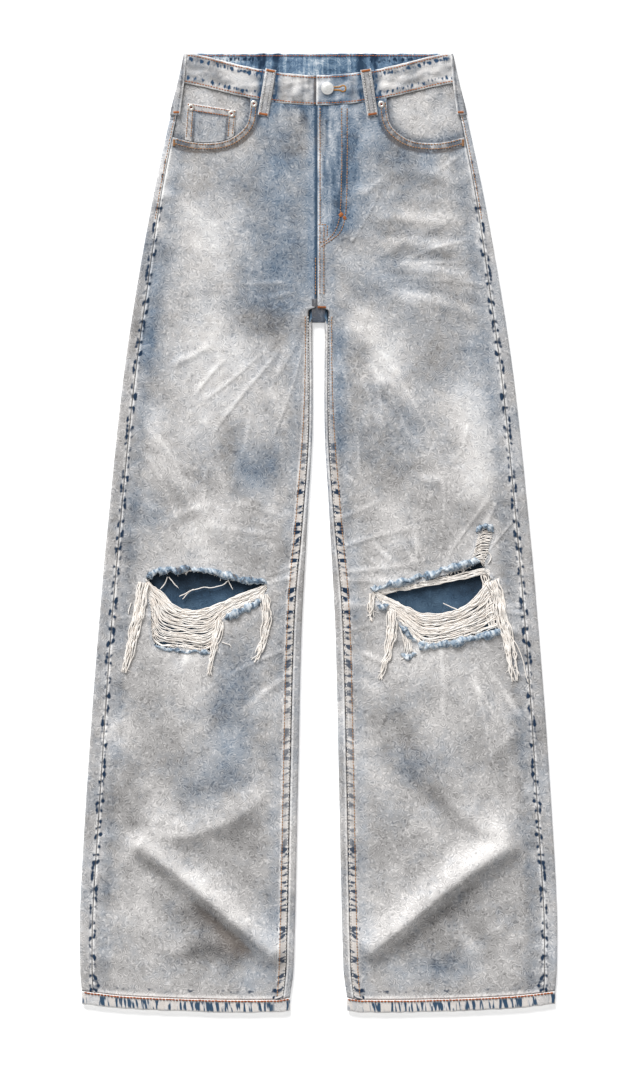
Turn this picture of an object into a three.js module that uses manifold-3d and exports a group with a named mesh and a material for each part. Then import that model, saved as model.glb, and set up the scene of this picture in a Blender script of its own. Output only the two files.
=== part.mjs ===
// A pair of wide-legged, ripped denim jeans, laid flat on their back. Millimetres, +Z up.
//
// The waist points to +Y and the hems to -Y. "Right" and "left" are the wearer's, so the right leg
// lies at -X. Heights along the garment ("up") are counted from the lowest point of the hems, and
// the finished group is then moved so that its origin is the centre of its footprint.
import * as THREE from 'three';
import { mergeVertices } from 'three/addons/utils/BufferGeometryUtils.js';
import Module from 'manifold-3d';

const wasm = await Module();
wasm.setup();

// ---- driving dimensions ---------------------------------------------------------------------
const WALL = 1.2;               // one layer of denim
const GAP = 0.3;                // between neighbouring pieces
const EDGE = 3.0;               // radius of the folded side edges
const SEAT_LIFT = 1.5;          // the seat rides on the back pockets by this much

const WAIST_UP = 1150;          // top edge of the waistband at the sides and back
const BAND_DEPTH = 36;          // waistband
const BAND_WALL = 2.4;
const BAND_PROUD = 1.0;         // how far the band's front stands above the fronts
const BAND_DIP = 26;            // how far the front of the waist dips at its middle
const BAND_DIP_SPAN = 160;
const BAND_LAP = 42;            // button stand below the overlap
const LAP_RISE = 0.8;           // the free end of the band climbs over the stand by this much
const LAP_SINK = 1.9;           // and the stand sinks below it by this much
const HEM_DEPTH = 15.6;
const HEM_WALL = 2.4;
const HEM_EDGE = 3.4;

const FLY_X = -1.2;             // free edge of the left front at the fly
const LAP = 8;                  // how far the right front runs below the left one
const CROTCH_UP = 827;
const FORK_UP = 847;            // where the fronts part above the crotch

const FRONT_COLUMNS = 12;
const ROWS = [0, 48, 74, 98, 122, 146, 170, 196, 224, 252, 284, 322, 370, 430, 490, 550, 610, 670,
  726, 780, CROTCH_UP, FORK_UP, 862, 884, 936, 990, 1040, 1076];

// Half-width of the outside outline, and of the slot between the legs, against height.
const OUTER = [[0, 284], [60, 286], [121, 286], [236, 280], [409, 268], [581, 253], [754, 235],
  [869, 218], [985, 197], [1071, 178.5], [1114, 167.8], [1150, 160]];
const INNER = [[0, 34], [60, 29.4], [293, 24], [466, 19.8], [610, 12], [697, 7.2], [835, 7.2]];
// How far the outseam and the inseam lie inside those outlines, on the upper side.
const OUTSEAM_INSET = [[0, 14], [230, 16.8], [480, 15.6], [740, 14.4], [860, 13.2], [975, 9.6],
  [1114, 7.2]];
const INSEAM_INSET = [[0, 9], [300, 9.6], [500, 9], [580, 6.2], [660, 4.6], [835, 4.5]];
// Lower edge of the hem across a leg, from its inner edge (0) to its outer edge (1).
const HEM_RISE = [[0, 3], [0.06, 0.6], [0.4, 1], [0.8, 5.4], [1, 11]];

// Folds of the upper layer: crest line, height and half-width.
const FOLDS = [
  { crest: [[-240, 232], [-199, 188], [-168, 155], [-134, 122], [-83, 97], [-50, 74]],
    rise: 9, spread: 21 },
  { crest: [[-206, 262], [-154, 221], [-106, 229], [-52, 262]], rise: 5.5, spread: 20 },
  { crest: [[59, 64], [103, 107], [153, 142], [191, 176], [219, 199], [256, 212]],
    rise: 9, spread: 21 },
  { crest: [[91, 360], [107, 299], [128, 263], [158, 229], [217, 204]], rise: 6.5, spread: 19 },
];

// Mouth of a front pocket, from the waistband to the outseam, on the left side.
const MOUTH = [[81, 1100], [84.6, 1069], [97, 1053.5], [116, 1044.5], [145, 1043], [174, 1049.5]];
const MOUTH_CORNER = [[215, 1056], [215, 1160], [81, 1160]];
const FACING_UNDERLAY = 12;     // pocket facing hidden below the front

const COIN_POCKET = [[-157.5, 1091], [-98.5, 1082], [-103.5, 1030], [-161, 1030]];

// Ripped knees: the hole in the front, and the upper edge of the loose cross threads left in it.
const RIP_RIGHT = [[-206, 521], [-184, 530], [-154, 531.6], [-123, 527.4], [-94, 520], [-63, 514],
  [-68, 498.6], [-94, 483], [-113, 474.6], [-122, 459], [-128, 434], [-164, 437.4], [-196, 442],
  [-201, 483]];
const THREADS_RIGHT = [[-204, 519.4], [-190, 507], [-180, 494], [-164, 483.6], [-141, 482.4],
  [-112, 494], [-86, 504.6], [-64, 512], [-68.6, 499], [-94.4, 483.6], [-113.4, 475.2],
  [-122.5, 459.2], [-128.4, 434.6], [-164, 438], [-195.6, 442.6], [-200.4, 483]];
const RIP_LEFT = [[67, 505], [93, 510], [125, 517], [153, 526], [177, 533.4], [184, 537],
  [191.4, 564.6], [197.4, 580], [207, 580], [204.6, 560], [199, 535], [206, 522], [214, 500],
  [219, 461], [194, 454], [158, 446], [128, 441], [116, 447], [98, 468.6], [80, 486.6]];
const THREADS_LEFT = [[68, 504.4], [80, 498], [103, 487.8], [121, 478.2], [143.4, 477],
  [168.6, 483], [190, 499], [194, 520], [186, 536], [192, 564.4], [197.9, 579.4], [206.4, 579.4],
  [204, 560], [198.4, 535], [205.4, 521.6], [213.4, 499.8], [218.3, 461.5], [194, 454.7],
  [158, 446.7], [128, 441.8], [116.6, 447.6], [98.6, 469], [80.6, 487.2]];

// Bundles of loose threads that hang from the rips: middle line and width.
const FRINGES = {
  fringe_right_outer: { line: [[-209, 516], [-217, 476], [-225, 441], [-232, 408]], width: 9 },
  fringe_right_middle: { line: [[-118, 470], [-123, 447], [-127, 429], [-131, 405]], width: 6 },
  fringe_right_inner: { line: [[-65, 502], [-62, 469], [-69, 435], [-78, 421]], width: 7 },
  fringe_left_inner: { line: [[64, 503], [63, 488], [63.5, 470]], width: 5 },
  fringe_left_middle: { line: [[87, 482], [87, 460], [83.5, 430], [74, 400]], width: 7 },
  fringe_left_outer: { line: [[208, 518], [215, 500], [220, 470], [226, 450], [231, 420],
    [235, 398]], width: 10 },
};
const THREADS_WALL = 1.6;
const FRINGE_WALL = 1.6;
const FRINGE_LIFT = 0.9;

const LOOP_WIDTH = 13;
const LOOP_WALL = 1.5;
const FRONT_LOOPS = { belt_loop_front_right: [[-57, 1131], [-66.6, 1075]],
  belt_loop_front_left: [[56.4, 1131], [65, 1075]] };
const SIDE_LOOP_UP = [1076, 1150];
const SIDE_LOOP_START = [-8.4, 0.5];      // where its near edge lies, from the fold, bottom and top
const BACK_LOOP_UP = [1086, 1149];

const BACK_POCKET = [[36, 1036], [164, 1022], [152, 906], [92, 878], [42, 912]];
const YOKE_SEAM = [[0, 1040], [190, 1072], [230, 1076]];   // from centre back to the outseam

const BUTTON = { x: 10.7, up: 1108, radius: 7.9, height: 4 };
const RIVET_RADIUS = 4.2;
const RIVET_HEIGHT = 1.6;
const RIVETS = { rivet_pocket_right: [-77.4, 1089.6], rivet_pocket_left: [75.4, 1089],
  rivet_coin_outer: [-152.6, 1085.2], rivet_coin_inner: [-104.4, 1077.6] };

// ---- finishes ---------------------------------------------------------------------------------
const finish = (color, roughness, metalness = 0) =>
  new THREE.MeshStandardMaterial({ color, roughness, metalness });
const WASHED_DENIM = finish(0xc2c2c8, 0.9);
const LOOSE_THREAD = finish(0xe9e1d3, 0.95);
const NICKEL = finish(0xd4d6d8, 0.3, 1);
const STEEL_CAP = finish(0xe0dcd6, 0.35, 1);

// ---- small tools --------------------------------------------------------------------------------
const clamp01 = (value) => Math.min(1, Math.max(0, value));
const mix = (a, b, share) => a + (b - a) * share;

function ease(from, to, value) {
  const share = clamp01((value - from) / (to - from));
  return share * share * (3 - 2 * share);
}

// A smooth line through stations of [place, value], straight on past its ends' values.
function smoothLine(stations) {
  const slope = stations.map((station, i) => {
    const before = stations[Math.max(0, i - 1)];
    const after = stations[Math.min(stations.length - 1, i + 1)];
    return (after[1] - before[1]) / (after[0] - before[0]);
  });
  return (place) => {
    const at = Math.min(stations[stations.length - 1][0], Math.max(stations[0][0], place));
    let i = 0;
    while (i < stations.length - 2 && at > stations[i + 1][0]) i += 1;
    const span = stations[i + 1][0] - stations[i][0];
    const t = (at - stations[i][0]) / span;
    const rest = 1 - t;
    return stations[i][1] * (1 + 2 * t) * rest * rest + slope[i] * span * t * rest * rest
      + stations[i + 1][1] * t * t * (3 - 2 * t) - slope[i + 1] * span * t * t * rest;
  };
}

function distanceToLine(x, up, line) {
  let best = Infinity;
  for (let i = 0; i + 1 < line.length; i += 1) {
    const [ax, ay] = line[i];
    const [dx, dy] = [line[i + 1][0] - ax, line[i + 1][1] - ay];
    const share = clamp01(((x - ax) * dx + (up - ay) * dy) / (dx * dx + dy * dy));
    best = Math.min(best, Math.hypot(x - ax - share * dx, up - ay - share * dy));
  }
  return best;
}

const mirrored = (outline) => outline.map(([x, up]) => [-x, up]);

// Moves every corner of a closed outline outwards by a distance.
function grown(outline, distance) {
  const points = outline.map(([x, up]) => new THREE.Vector2(x, up));
  const turn = THREE.ShapeUtils.area(points) > 0 ? 1 : -1;
  return points.map((point, i) => {
    const before = points[(i + points.length - 1) % points.length];
    const after = points[(i + 1) % points.length];
    const along = after.clone().sub(before).normalize();
    return [point.x + turn * along.y * distance, point.y - turn * along.x * distance];
  });
}

// ---- solids ---------------------------------------------------------------------------------------
// Turns a body so that its faces point out.
function facingOut(positions, triangles) {
  let volume = 0;
  const corner = (index) => new THREE.Vector3(...positions[index]);
  for (const [a, b, c] of triangles) volume += corner(a).dot(corner(b).cross(corner(c)));
  const faces = volume > 0 ? triangles : triangles.map(([a, b, c]) => [a, c, b]);
  const geometry = new THREE.BufferGeometry();
  geometry.setAttribute('position', new THREE.Float32BufferAttribute(positions.flat(), 3));
  geometry.setIndex(faces.flat());
  return geometry;
}

// A wall between two skins, each a grid of points [row][column]. A closed wall runs round.
function wall(outer, inner, closed = false) {
  const rows = outer.length;
  const columns = outer[0].length;
  const count = rows * columns;
  const positions = [...outer.flat(), ...inner.flat()];
  const triangles = [];
  const at = (skin, row, column) => skin * count + row * columns + (column % columns);
  const quad = (a, b, c, d) => triangles.push([a, b, c], [a, c, d]);
  const spans = closed ? columns : columns - 1;
  for (let row = 0; row + 1 < rows; row += 1) {
    for (let column = 0; column < spans; column += 1) {
      const [r, c] = [row + 1, column + 1];
      quad(at(0, row, column), at(0, row, c), at(0, r, c), at(0, r, column));
      quad(at(1, row, column), at(1, r, column), at(1, r, c), at(1, row, c));
    }
    if (!closed) {
      quad(at(0, row + 1, 0), at(1, row + 1, 0), at(1, row, 0), at(0, row, 0));
      quad(at(0, row, spans), at(1, row, spans), at(1, row + 1, spans), at(0, row + 1, spans));
    }
  }
  for (let column = 0; column < spans; column += 1) {
    quad(at(0, 0, column), at(1, 0, column), at(1, 0, column + 1), at(0, 0, column + 1));
    quad(at(0, rows - 1, column + 1), at(1, rows - 1, column + 1), at(1, rows - 1, column),
      at(0, rows - 1, column));
  }
  return facingOut(positions, triangles);
}

function solid(geometry) {
  const bare = geometry.clone();
  bare.deleteAttribute('normal');
  bare.deleteAttribute('uv');
  const merged = mergeVertices(bare, 1e-4);
  return new wasm.Manifold(new wasm.Mesh({
    numProp: 3,
    vertProperties: new Float32Array(merged.attributes.position.array),
    triVerts: new Uint32Array(merged.index.array),
  }));
}

function geometryOf(body) {
  const mesh = body.getMesh();
  const geometry = new THREE.BufferGeometry();
  geometry.setAttribute('position', new THREE.Float32BufferAttribute(mesh.vertProperties, 3));
  geometry.setIndex([...mesh.triVerts]);
  return geometry;
}

// An upright prism over a closed outline, taller than the garment unless a stretch is given.
function prism(outline, from = -60, to = 60) {
  const shape = new THREE.Shape(outline.map(([x, up]) => new THREE.Vector2(x, up)));
  const geometry = new THREE.ExtrudeGeometry(shape, { depth: to - from, bevelEnabled: false });
  geometry.translate(0, 0, from);
  return geometry;
}

const cutAway = (geometry, outline) => geometryOf(solid(geometry).subtract(solid(prism(outline))));
const cutTo = (geometry, outline) => geometryOf(solid(geometry).intersect(solid(prism(outline))));

// ---- the garment's form ---------------------------------------------------------------------------
const outerEdge = smoothLine(OUTER);
const innerEdge = smoothLine(INNER);
const outseamInset = smoothLine(OUTSEAM_INSET);
const inseamInset = smoothLine(INSEAM_INSET);
const hemRise = smoothLine(HEM_RISE);
const seatLift = (up) => SEAT_LIFT * ease(780, 868, up);
const waistDip = (x) => BAND_DIP * Math.pow(Math.max(0, 1 - (x / BAND_DIP_SPAN) ** 2), 1.35);
const bandLow = (x) => WAIST_UP - BAND_DEPTH - waistDip(x);
const lapRise = (x) => (x < 0 ? 0 : LAP_RISE * (1 - ease(50, 80, x)));

// Height of the folds of the upper skin, which die out at the side edges and at the hem.
function relief(x, up) {
  const margin = Math.min(outerEdge(up) - Math.abs(x), Math.abs(x) - innerEdge(up));
  const folds = FOLDS.reduce((sum, { crest, rise, spread }) =>
    sum + rise * Math.exp(-((distanceToLine(x, up, crest) / spread) ** 2)), 0);
  return ease(EDGE, EDGE + 22, margin) * ease(30, 75, up) * folds;
}

const upperSkin = (x, up) => seatLift(up) + 2 * EDGE + relief(x, up);

// Inner edge of a front at a height: at the fly and front seam above the crotch, at the inseam below.
function frontInner(side, up) {
  const below = innerEdge(up) + inseamInset(up);
  if (side > 0) return up >= FORK_UP ? FLY_X : below;
  if (up <= CROTCH_UP) return below;
  return up > 870 ? -(FLY_X + LAP) : -(FLY_X - GAP);
}

const outseam = (up) => outerEdge(up) - outseamInset(up);

// The right front sinks below the left one where they lap.
const lapDrop = (side, x, up) => (side > 0 || up <= FORK_UP ? 0 : (WALL + GAP) * ease(-24, -5, x));

// Rows follow the hem at the bottom and the waistband at the top.
function rowUp(row, x, share, top) {
  const last = ROWS.length;
  if (row === 0) return hemRise(share) + HEM_DEPTH + GAP;
  if (row === last) return top(x) - GAP;
  const rise = ROWS[row];
  const pull = ease(980, WAIST_UP - BAND_DEPTH, rise);
  return rise - pull * (WAIST_UP - BAND_DEPTH - top(x));
}

// Skin of one front, its columns running from the centre to the outseam.
function frontSkin(side, drop) {
  const skin = [];
  for (let row = 0; row <= ROWS.length; row += 1) {
    const level = row < ROWS.length ? ROWS[row] : WAIST_UP - BAND_DEPTH;
    const [from, to] = [frontInner(side, level), outseam(level)];
    const points = [];
    for (let column = 0; column <= FRONT_COLUMNS; column += 1) {
      const x = side * mix(from, to, column / FRONT_COLUMNS);
      const share = clamp01((Math.abs(x) - innerEdge(level)) / (outerEdge(level) - innerEdge(level)));
      const up = rowUp(row, x, share, bandLow);
      points.push([x, up, upperSkin(x, level) - lapDrop(side, x, level) - drop]);
    }
    skin.push(points);
  }
  return skin;
}

const frontWall = (side, drop = 0, depth = WALL) =>
  wall(frontSkin(side, drop), frontSkin(side, drop + depth));

// Points of the lower layer across a leg at a level: from the inseam on the upper side, round the
// inner edge, along the underside, round the outer edge and up to the outseam. Above the fork it
// starts at the centre-back seam. Each is [x, z, share across the leg] at a depth inside the skin.
const BEND = [0, 1, 2, 3, 4].map((step) => (step * Math.PI) / 4);
const UNDERSIDE_SHARES = [0.25, 0.5, 0.75];
const CENTRE_STEP = 2.6;

function backSection(level, depth, edge, proud) {
  const [inner, outer] = [innerEdge(level), outerEdge(level)];
  const floor = seatLift(level);
  const [wide, high] = [edge - depth, edge + proud / 2 - depth];
  const middle = floor + edge + proud / 2;
  const top = (x) => upperSkin(x, level) + 2 * (edge - EDGE) + proud - depth;
  const points = [];
  if (level > CROTCH_UP) {
    for (let step = 0; step <= BEND.length; step += 1) {
      points.push([GAP / 2 + step * CENTRE_STEP, floor + depth]);
    }
  } else {
    const seam = inner + inseamInset(level) - GAP;
    points.push([seam, top(seam)]);
    for (const angle of BEND) {
      points.push([inner + edge - wide * Math.sin(angle), middle + high * Math.cos(angle)]);
    }
  }
  const first = points[points.length - 1][0];
  for (const share of UNDERSIDE_SHARES) points.push([mix(first, outer - edge, share), floor + depth]);
  for (const angle of BEND) {
    points.push([outer - edge + wide * Math.sin(angle), middle - high * Math.cos(angle)]);
  }
  const seam = outer - outseamInset(level) + GAP;
  points.push([seam, top(seam)]);
  return points;
}

function backSkin(side, depth) {
  const skin = [];
  const straightTop = () => WAIST_UP - BAND_DEPTH;
  for (let row = 0; row <= ROWS.length; row += 1) {
    const level = row < ROWS.length ? ROWS[row] : WAIST_UP - BAND_DEPTH;
    const [inner, outer] = [innerEdge(level), outerEdge(level)];
    skin.push(backSection(level, depth, EDGE, 0).map(([x, z]) => {
      const share = clamp01((x - inner) / (outer - inner));
      return [side * x, rowUp(row, x, share, straightTop), z];
    }));
  }
  return skin;
}

// ---- pieces -----------------------------------------------------------------------------------------
const garment = new THREE.Group();

function add(name, geometry, material) {
  const mesh = new THREE.Mesh(geometry, material);
  mesh.name = name;
  garment.add(mesh);
}

const sideName = (side) => (side < 0 ? 'right' : 'left');
const onSide = (side, outline) => (side < 0 ? mirrored(outline) : outline);

function mouthOutline() {
  const curve = new THREE.SplineCurve(MOUTH.map(([x, up]) => new THREE.Vector2(x, up)));
  return [...curve.getPoints(14).map((point) => [point.x, point.y]), ...MOUTH_CORNER];
}

function addFronts() {
  for (const side of [-1, 1]) {
    const mouth = onSide(side, mouthOutline());
    const rip = side < 0 ? RIP_RIGHT : RIP_LEFT;
    const cloth = cutAway(cutAway(frontWall(side), mouth), rip);
    add(`front_leg_${sideName(side)}`, cloth, WASHED_DENIM);
    const facing = cutTo(frontWall(side, WALL + GAP), grown(mouth, FACING_UNDERLAY));
    add(`pocket_facing_${sideName(side)}`, facing, WASHED_DENIM);
  }
  const mouth = grown(onSide(-1, mouthOutline()), -2 * GAP);
  add('coin_pocket', cutTo(cutTo(frontWall(-1), COIN_POCKET), mouth), WASHED_DENIM);
}

function addBacks() {
  for (const side of [-1, 1]) {
    const cloth = wall(backSkin(side, 0), backSkin(side, WALL));
    const seam = onSide(side, YOKE_SEAM);
    const [inner, outer] = [side * -10, side * 2 * outerEdge(0)];
    const halfPlane = (end, shift) => [[inner, end], [inner, seam[0][1] + shift],
      ...seam.map(([x, up]) => [x, up + shift]), [outer, seam[2][1] + shift], [outer, end]];
    const yoke = halfPlane(2 * WAIST_UP, GAP / 2);
    const leg = halfPlane(-WAIST_UP, -GAP / 2);
    add(`yoke_${sideName(side)}`, cutTo(cloth, yoke), WASHED_DENIM);
    add(`back_leg_${sideName(side)}`, cutTo(cloth, leg), WASHED_DENIM);
    add(`back_pocket_${sideName(side)}`, prism(onSide(side, BACK_POCKET), 0, WALL), WASHED_DENIM);
  }
}

// The waistband is one strip: from the button stand, round the right side, the back and the left
// side, to the free end that laps over the stand.
function addWaistband() {
  const level = WAIST_UP - BAND_DEPTH;
  const taper = outerEdge(WAIST_UP) / outerEdge(level);
  const bandTop = (x) => upperSkin(x, level) + BAND_PROUD;
  const stand = [BAND_LAP, 28, 14, 4];
  const rightFront = frontSkin(-1, 0)[ROWS.length].slice(1).map(([x]) => x);
  const leftFront = frontSkin(1, 0)[ROWS.length].slice(1).reverse().map(([x]) => x);
  const sink = (x) => -LAP_SINK * ease(-30, -6, x);
  const skin = (depth) => {
    const back = backSection(level, depth, EDGE, BAND_PROUD).slice(0, -1);
    const path = [
      ...stand.map((x) => [x, bandTop(x) + sink(x) - depth, bandLow(x) + 1]),
      ...rightFront.map((x) => [x, bandTop(x) + sink(x) - depth, bandLow(x)]),
      ...[...back].reverse().map(([x, z]) => [-x, z, level]),
      ...back.slice(1).map(([x, z]) => [x, z, level]),
      ...[...leftFront, FLY_X - 1.3].map((x) => [x, bandTop(x) + lapRise(x) - depth, bandLow(x)]),
    ];
    return [0, 1].map((row) => path.map(([x, z, low]) =>
      [x * (row ? taper : 1), low + row * BAND_DEPTH, z]));
  };
  add('waistband', wall(skin(0), skin(BAND_WALL)), WASHED_DENIM);
}

function addHems() {
  for (const side of [-1, 1]) {
    const skin = (depth) => [0, 1].map((row) => {
      const level = row ? HEM_DEPTH : 0;
      const [inner, outer] = [innerEdge(0), outerEdge(0)];
      const section = backSection(0, depth, HEM_EDGE, 0);
      const last = section[section.length - 1];
      const top = [];
      for (let column = 1; column < FRONT_COLUMNS; column += 1) {
        top.push([mix(outseam(0), frontInner(1, 0), column / FRONT_COLUMNS), last[1]]);
      }
      return [...section, ...top].map(([x, z]) => {
        const share = clamp01((x - inner) / (outer - inner));
        return [side * x, hemRise(share) + level, z];
      });
    });
    add(`hem_${sideName(side)}`, wall(skin(0), skin(HEM_WALL), true), WASHED_DENIM);
  }
}

// A ribbon of even width along a line, lying on a height function.
function ribbon(line, width, height, thickness) {
  const skin = (z) => line.map(([x, up], i) => {
    const before = line[Math.max(0, i - 1)];
    const after = line[Math.min(line.length - 1, i + 1)];
    const length = Math.hypot(after[0] - before[0], after[1] - before[1]);
    const acrossX = ((before[1] - after[1]) / length) * (width / 2);
    const acrossUp = ((after[0] - before[0]) / length) * (width / 2);
    return [-1, 0, 1].map((s) => [x + s * acrossX, up + s * acrossUp, z(x, up)]);
  });
  return wall(skin((x, up) => height(x, up) + thickness), skin(height));
}

function addBeltLoops() {
  const level = WAIST_UP - BAND_DEPTH;
  const bandZ = seatLift(level) + 2 * EDGE + BAND_PROUD + GAP;
  for (const [name, [top, bottom]] of Object.entries(FRONT_LOOPS)) {
    const steps = [0, 0.12, 0.5, 0.64, 0.74, 0.9, 1];
    const line = steps.map((t) => [mix(top[0], bottom[0], t), mix(top[1], bottom[1], t)]);
    const arch = (x, up) => {
      const below = ease(bandLow(x) + 0.5, bandLow(x) - 9, up);
      const belly = 0.8 * Math.sin(Math.PI * clamp01((up - bandLow(x)) / BAND_DEPTH));
      return bandZ + lapRise(x) * 1.3 + belly - below * BAND_PROUD;
    };
    add(name, ribbon(line, LOOP_WIDTH, arch, LOOP_WALL), WASHED_DENIM);
  }
  addSideLoops(level);
  const [low, high] = BACK_LOOP_UP;
  const half = LOOP_WIDTH / 2;
  const patch = prism([[-half, low], [half, low], [half, high], [-half, high]], 0, WALL);
  add('belt_loop_back', patch, WASHED_DENIM);
}

// The side loops wrap the folded edge of the band, and slant so that only their lower ends show.
function addSideLoops(level) {
  const floor = seatLift(level);
  const [wide, high] = [EDGE, EDGE + BAND_PROUD / 2];
  const bend = Math.PI * EDGE;
  const rows = [0, 0.2, 0.4, 0.6, 0.8, 1];
  const columns = 12;
  for (const side of [-1, 1]) {
    const skin = (off) => rows.map((row) => {
      const up = mix(...SIDE_LOOP_UP, row);
      const fold = outerEdge(up) - EDGE;
      const points = [];
      for (let column = 0; column < columns; column += 1) {
        const arc = mix(...SIDE_LOOP_START, row) + (LOOP_WIDTH * column) / (columns - 1);
        const angle = Math.PI * clamp01(arc / bend);
        const run = arc < 0 ? arc : Math.min(0, bend - arc);
        points.push([side * (fold + run + (wide + off) * Math.sin(angle)), up,
          floor + high + (high + off) * Math.cos(angle)]);
      }
      return points;
    });
    const inner = GAP * 2;
    add(`belt_loop_side_${sideName(side)}`, wall(skin(SEAT_LIFT), skin(inner)), WASHED_DENIM);
  }
}

function addRips() {
  const bed = 2 * EDGE - WALL;
  add('knee_threads_right', prism(THREADS_RIGHT, bed - THREADS_WALL, bed), LOOSE_THREAD);
  add('knee_threads_left', prism(THREADS_LEFT, bed - THREADS_WALL, bed), LOOSE_THREAD);
  for (const [name, { line, width }] of Object.entries(FRINGES)) {
    const lie = (x, up) => upperSkin(x, up) + FRINGE_LIFT;
    add(name, ribbon(line, width, lie, FRINGE_WALL), LOOSE_THREAD);
  }
}

// A round cap on a seat height: a flat foot, a turned rim and a low crown.
function cap(radius, height, x, up, seat) {
  const segments = 14;
  const profile = [[0, 0], [radius * 0.92, 0], [radius, height * 0.3],
    [radius * 0.92, height * 0.72], [radius * 0.6, height * 0.93], [0, height]];
  const geometry = new THREE.LatheGeometry(profile.map(([r, z]) => new THREE.Vector2(r, z)), segments);
  geometry.rotateX(Math.PI / 2);
  geometry.translate(x, up, seat);
  return geometryOf(solid(geometry));
}

function addHardware() {
  const level = WAIST_UP - BAND_DEPTH;
  const front = seatLift(level) + 2 * EDGE;
  const lap = front + BAND_PROUD + 0.8 + GAP;
  add('shank_button', cap(BUTTON.radius, BUTTON.height, BUTTON.x, BUTTON.up, lap), NICKEL);
  for (const [name, [x, up]] of Object.entries(RIVETS)) {
    add(name, cap(RIVET_RADIUS, RIVET_HEIGHT, x, up, front + GAP), STEEL_CAP);
  }
}

addFronts();
addBacks();
addWaistband();
addHems();
addBeltLoops();
addRips();
addHardware();

const size = new THREE.Box3().setFromObject(garment);
const middle = size.getCenter(new THREE.Vector3());
garment.position.set(-middle.x, -middle.y, -size.min.z);

export default garment;
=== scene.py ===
"""Ripped wide-legged jeans in bleached denim, laid flat on their back.

The garment is drawn in millimetres, as a maker would: x across, to the wearer's left, "up" along
the garment from the lowest point of the hems, and z above the table. Laying.place() turns that
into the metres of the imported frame. Right and left are the wearer's, so the right leg is at -x.
"""

import logging
import math
from collections.abc import Callable, Iterable, Sequence
from dataclasses import dataclass, field
from enum import Enum

import bpy
import numpy as np
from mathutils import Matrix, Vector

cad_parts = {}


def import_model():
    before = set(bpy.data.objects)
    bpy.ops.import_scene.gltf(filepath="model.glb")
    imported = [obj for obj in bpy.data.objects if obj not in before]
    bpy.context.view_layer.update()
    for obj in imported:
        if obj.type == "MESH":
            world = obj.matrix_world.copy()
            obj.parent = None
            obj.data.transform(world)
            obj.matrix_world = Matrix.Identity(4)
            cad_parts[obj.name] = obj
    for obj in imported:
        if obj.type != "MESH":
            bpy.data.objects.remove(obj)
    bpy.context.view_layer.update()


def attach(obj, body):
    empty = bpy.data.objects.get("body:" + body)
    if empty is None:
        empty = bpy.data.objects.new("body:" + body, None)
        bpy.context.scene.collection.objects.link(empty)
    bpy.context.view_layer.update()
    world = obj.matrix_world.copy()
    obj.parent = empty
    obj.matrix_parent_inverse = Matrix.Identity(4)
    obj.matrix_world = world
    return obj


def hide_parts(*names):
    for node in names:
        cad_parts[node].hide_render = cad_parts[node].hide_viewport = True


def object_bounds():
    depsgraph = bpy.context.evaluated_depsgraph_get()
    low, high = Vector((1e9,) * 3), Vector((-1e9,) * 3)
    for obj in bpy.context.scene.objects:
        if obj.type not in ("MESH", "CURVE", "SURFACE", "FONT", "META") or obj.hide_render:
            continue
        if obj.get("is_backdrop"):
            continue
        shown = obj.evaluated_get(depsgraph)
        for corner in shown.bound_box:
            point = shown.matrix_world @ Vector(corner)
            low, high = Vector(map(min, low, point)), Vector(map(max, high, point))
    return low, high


Array = np.ndarray
Point = tuple[float, float]
Line = Callable[[Array], Array]
Socket = bpy.types.NodeSocket

MM = 0.001
BODY = "root"
NOISE_LATTICE = 96

log = logging.getLogger("jeans")


# ---- drawing tools -------------------------------------------------------------------------------
def ease(start: float, end: float, value: Array) -> Array:
    """Rises softly from 0 to 1.

    Args:
        start: where the rise begins.
        end: where it is complete; it may be lower than start.
        value: the places to look at.

    Returns:
        The share reached at each place.
    """
    share = np.clip((np.asarray(value, float) - start) / (end - start), 0, 1)
    return share * share * (3 - 2 * share)


def mix(low: Array, high: Array, share: Array) -> Array:
    """Goes from low to high by a share."""
    return low + (high - low) * share


def bell(value: Array, width: Array, centre: float = 0.0) -> Array:
    """A soft bump, 1 at its centre, that has mostly died out two widths away."""
    return np.exp(-(((value - centre) / width) ** 2))


def brink(gap: Array, width: float) -> Array:
    """Rises from 0 at one width inside an edge to 1 on it, as cloth rounds off."""
    return np.clip(1 - gap / width, 0, 1) ** 2


def unit(rows: Array) -> Array:
    """Brings every row to length 1."""
    return rows / np.maximum(np.linalg.norm(rows, axis=1, keepdims=True), 1e-9)


def right_of(run: Array) -> Array:
    """Directions to the right of flat directions."""
    return np.stack([run[:, 1], -run[:, 0]], axis=1)


def smooth_line(stations: Sequence[Point]) -> Line:
    """Draws a smooth line through stations, level beyond its ends.

    Args:
        stations: pairs of place and value, in order.

    Returns:
        A function from places to values.
    """
    place, value = np.array(stations, float).T
    last = len(place) - 1
    before = np.maximum(np.arange(last + 1) - 1, 0)
    after = np.minimum(np.arange(last + 1) + 1, last)
    slope = (value[after] - value[before]) / (place[after] - place[before])

    def line(at: Array) -> Array:
        """The line's value at each place."""
        at = np.clip(at, place[0], place[-1])
        i = np.clip(np.searchsorted(place, at, side="right") - 1, 0, last - 1)
        span = place[i + 1] - place[i]
        t = (at - place[i]) / span
        rest = 1 - t
        hold = value[i] * (1 + 2 * t) * rest * rest + value[i + 1] * t * t * (3 - 2 * t)
        return hold + span * t * rest * (slope[i] * rest - slope[i + 1] * t)

    return line


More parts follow.
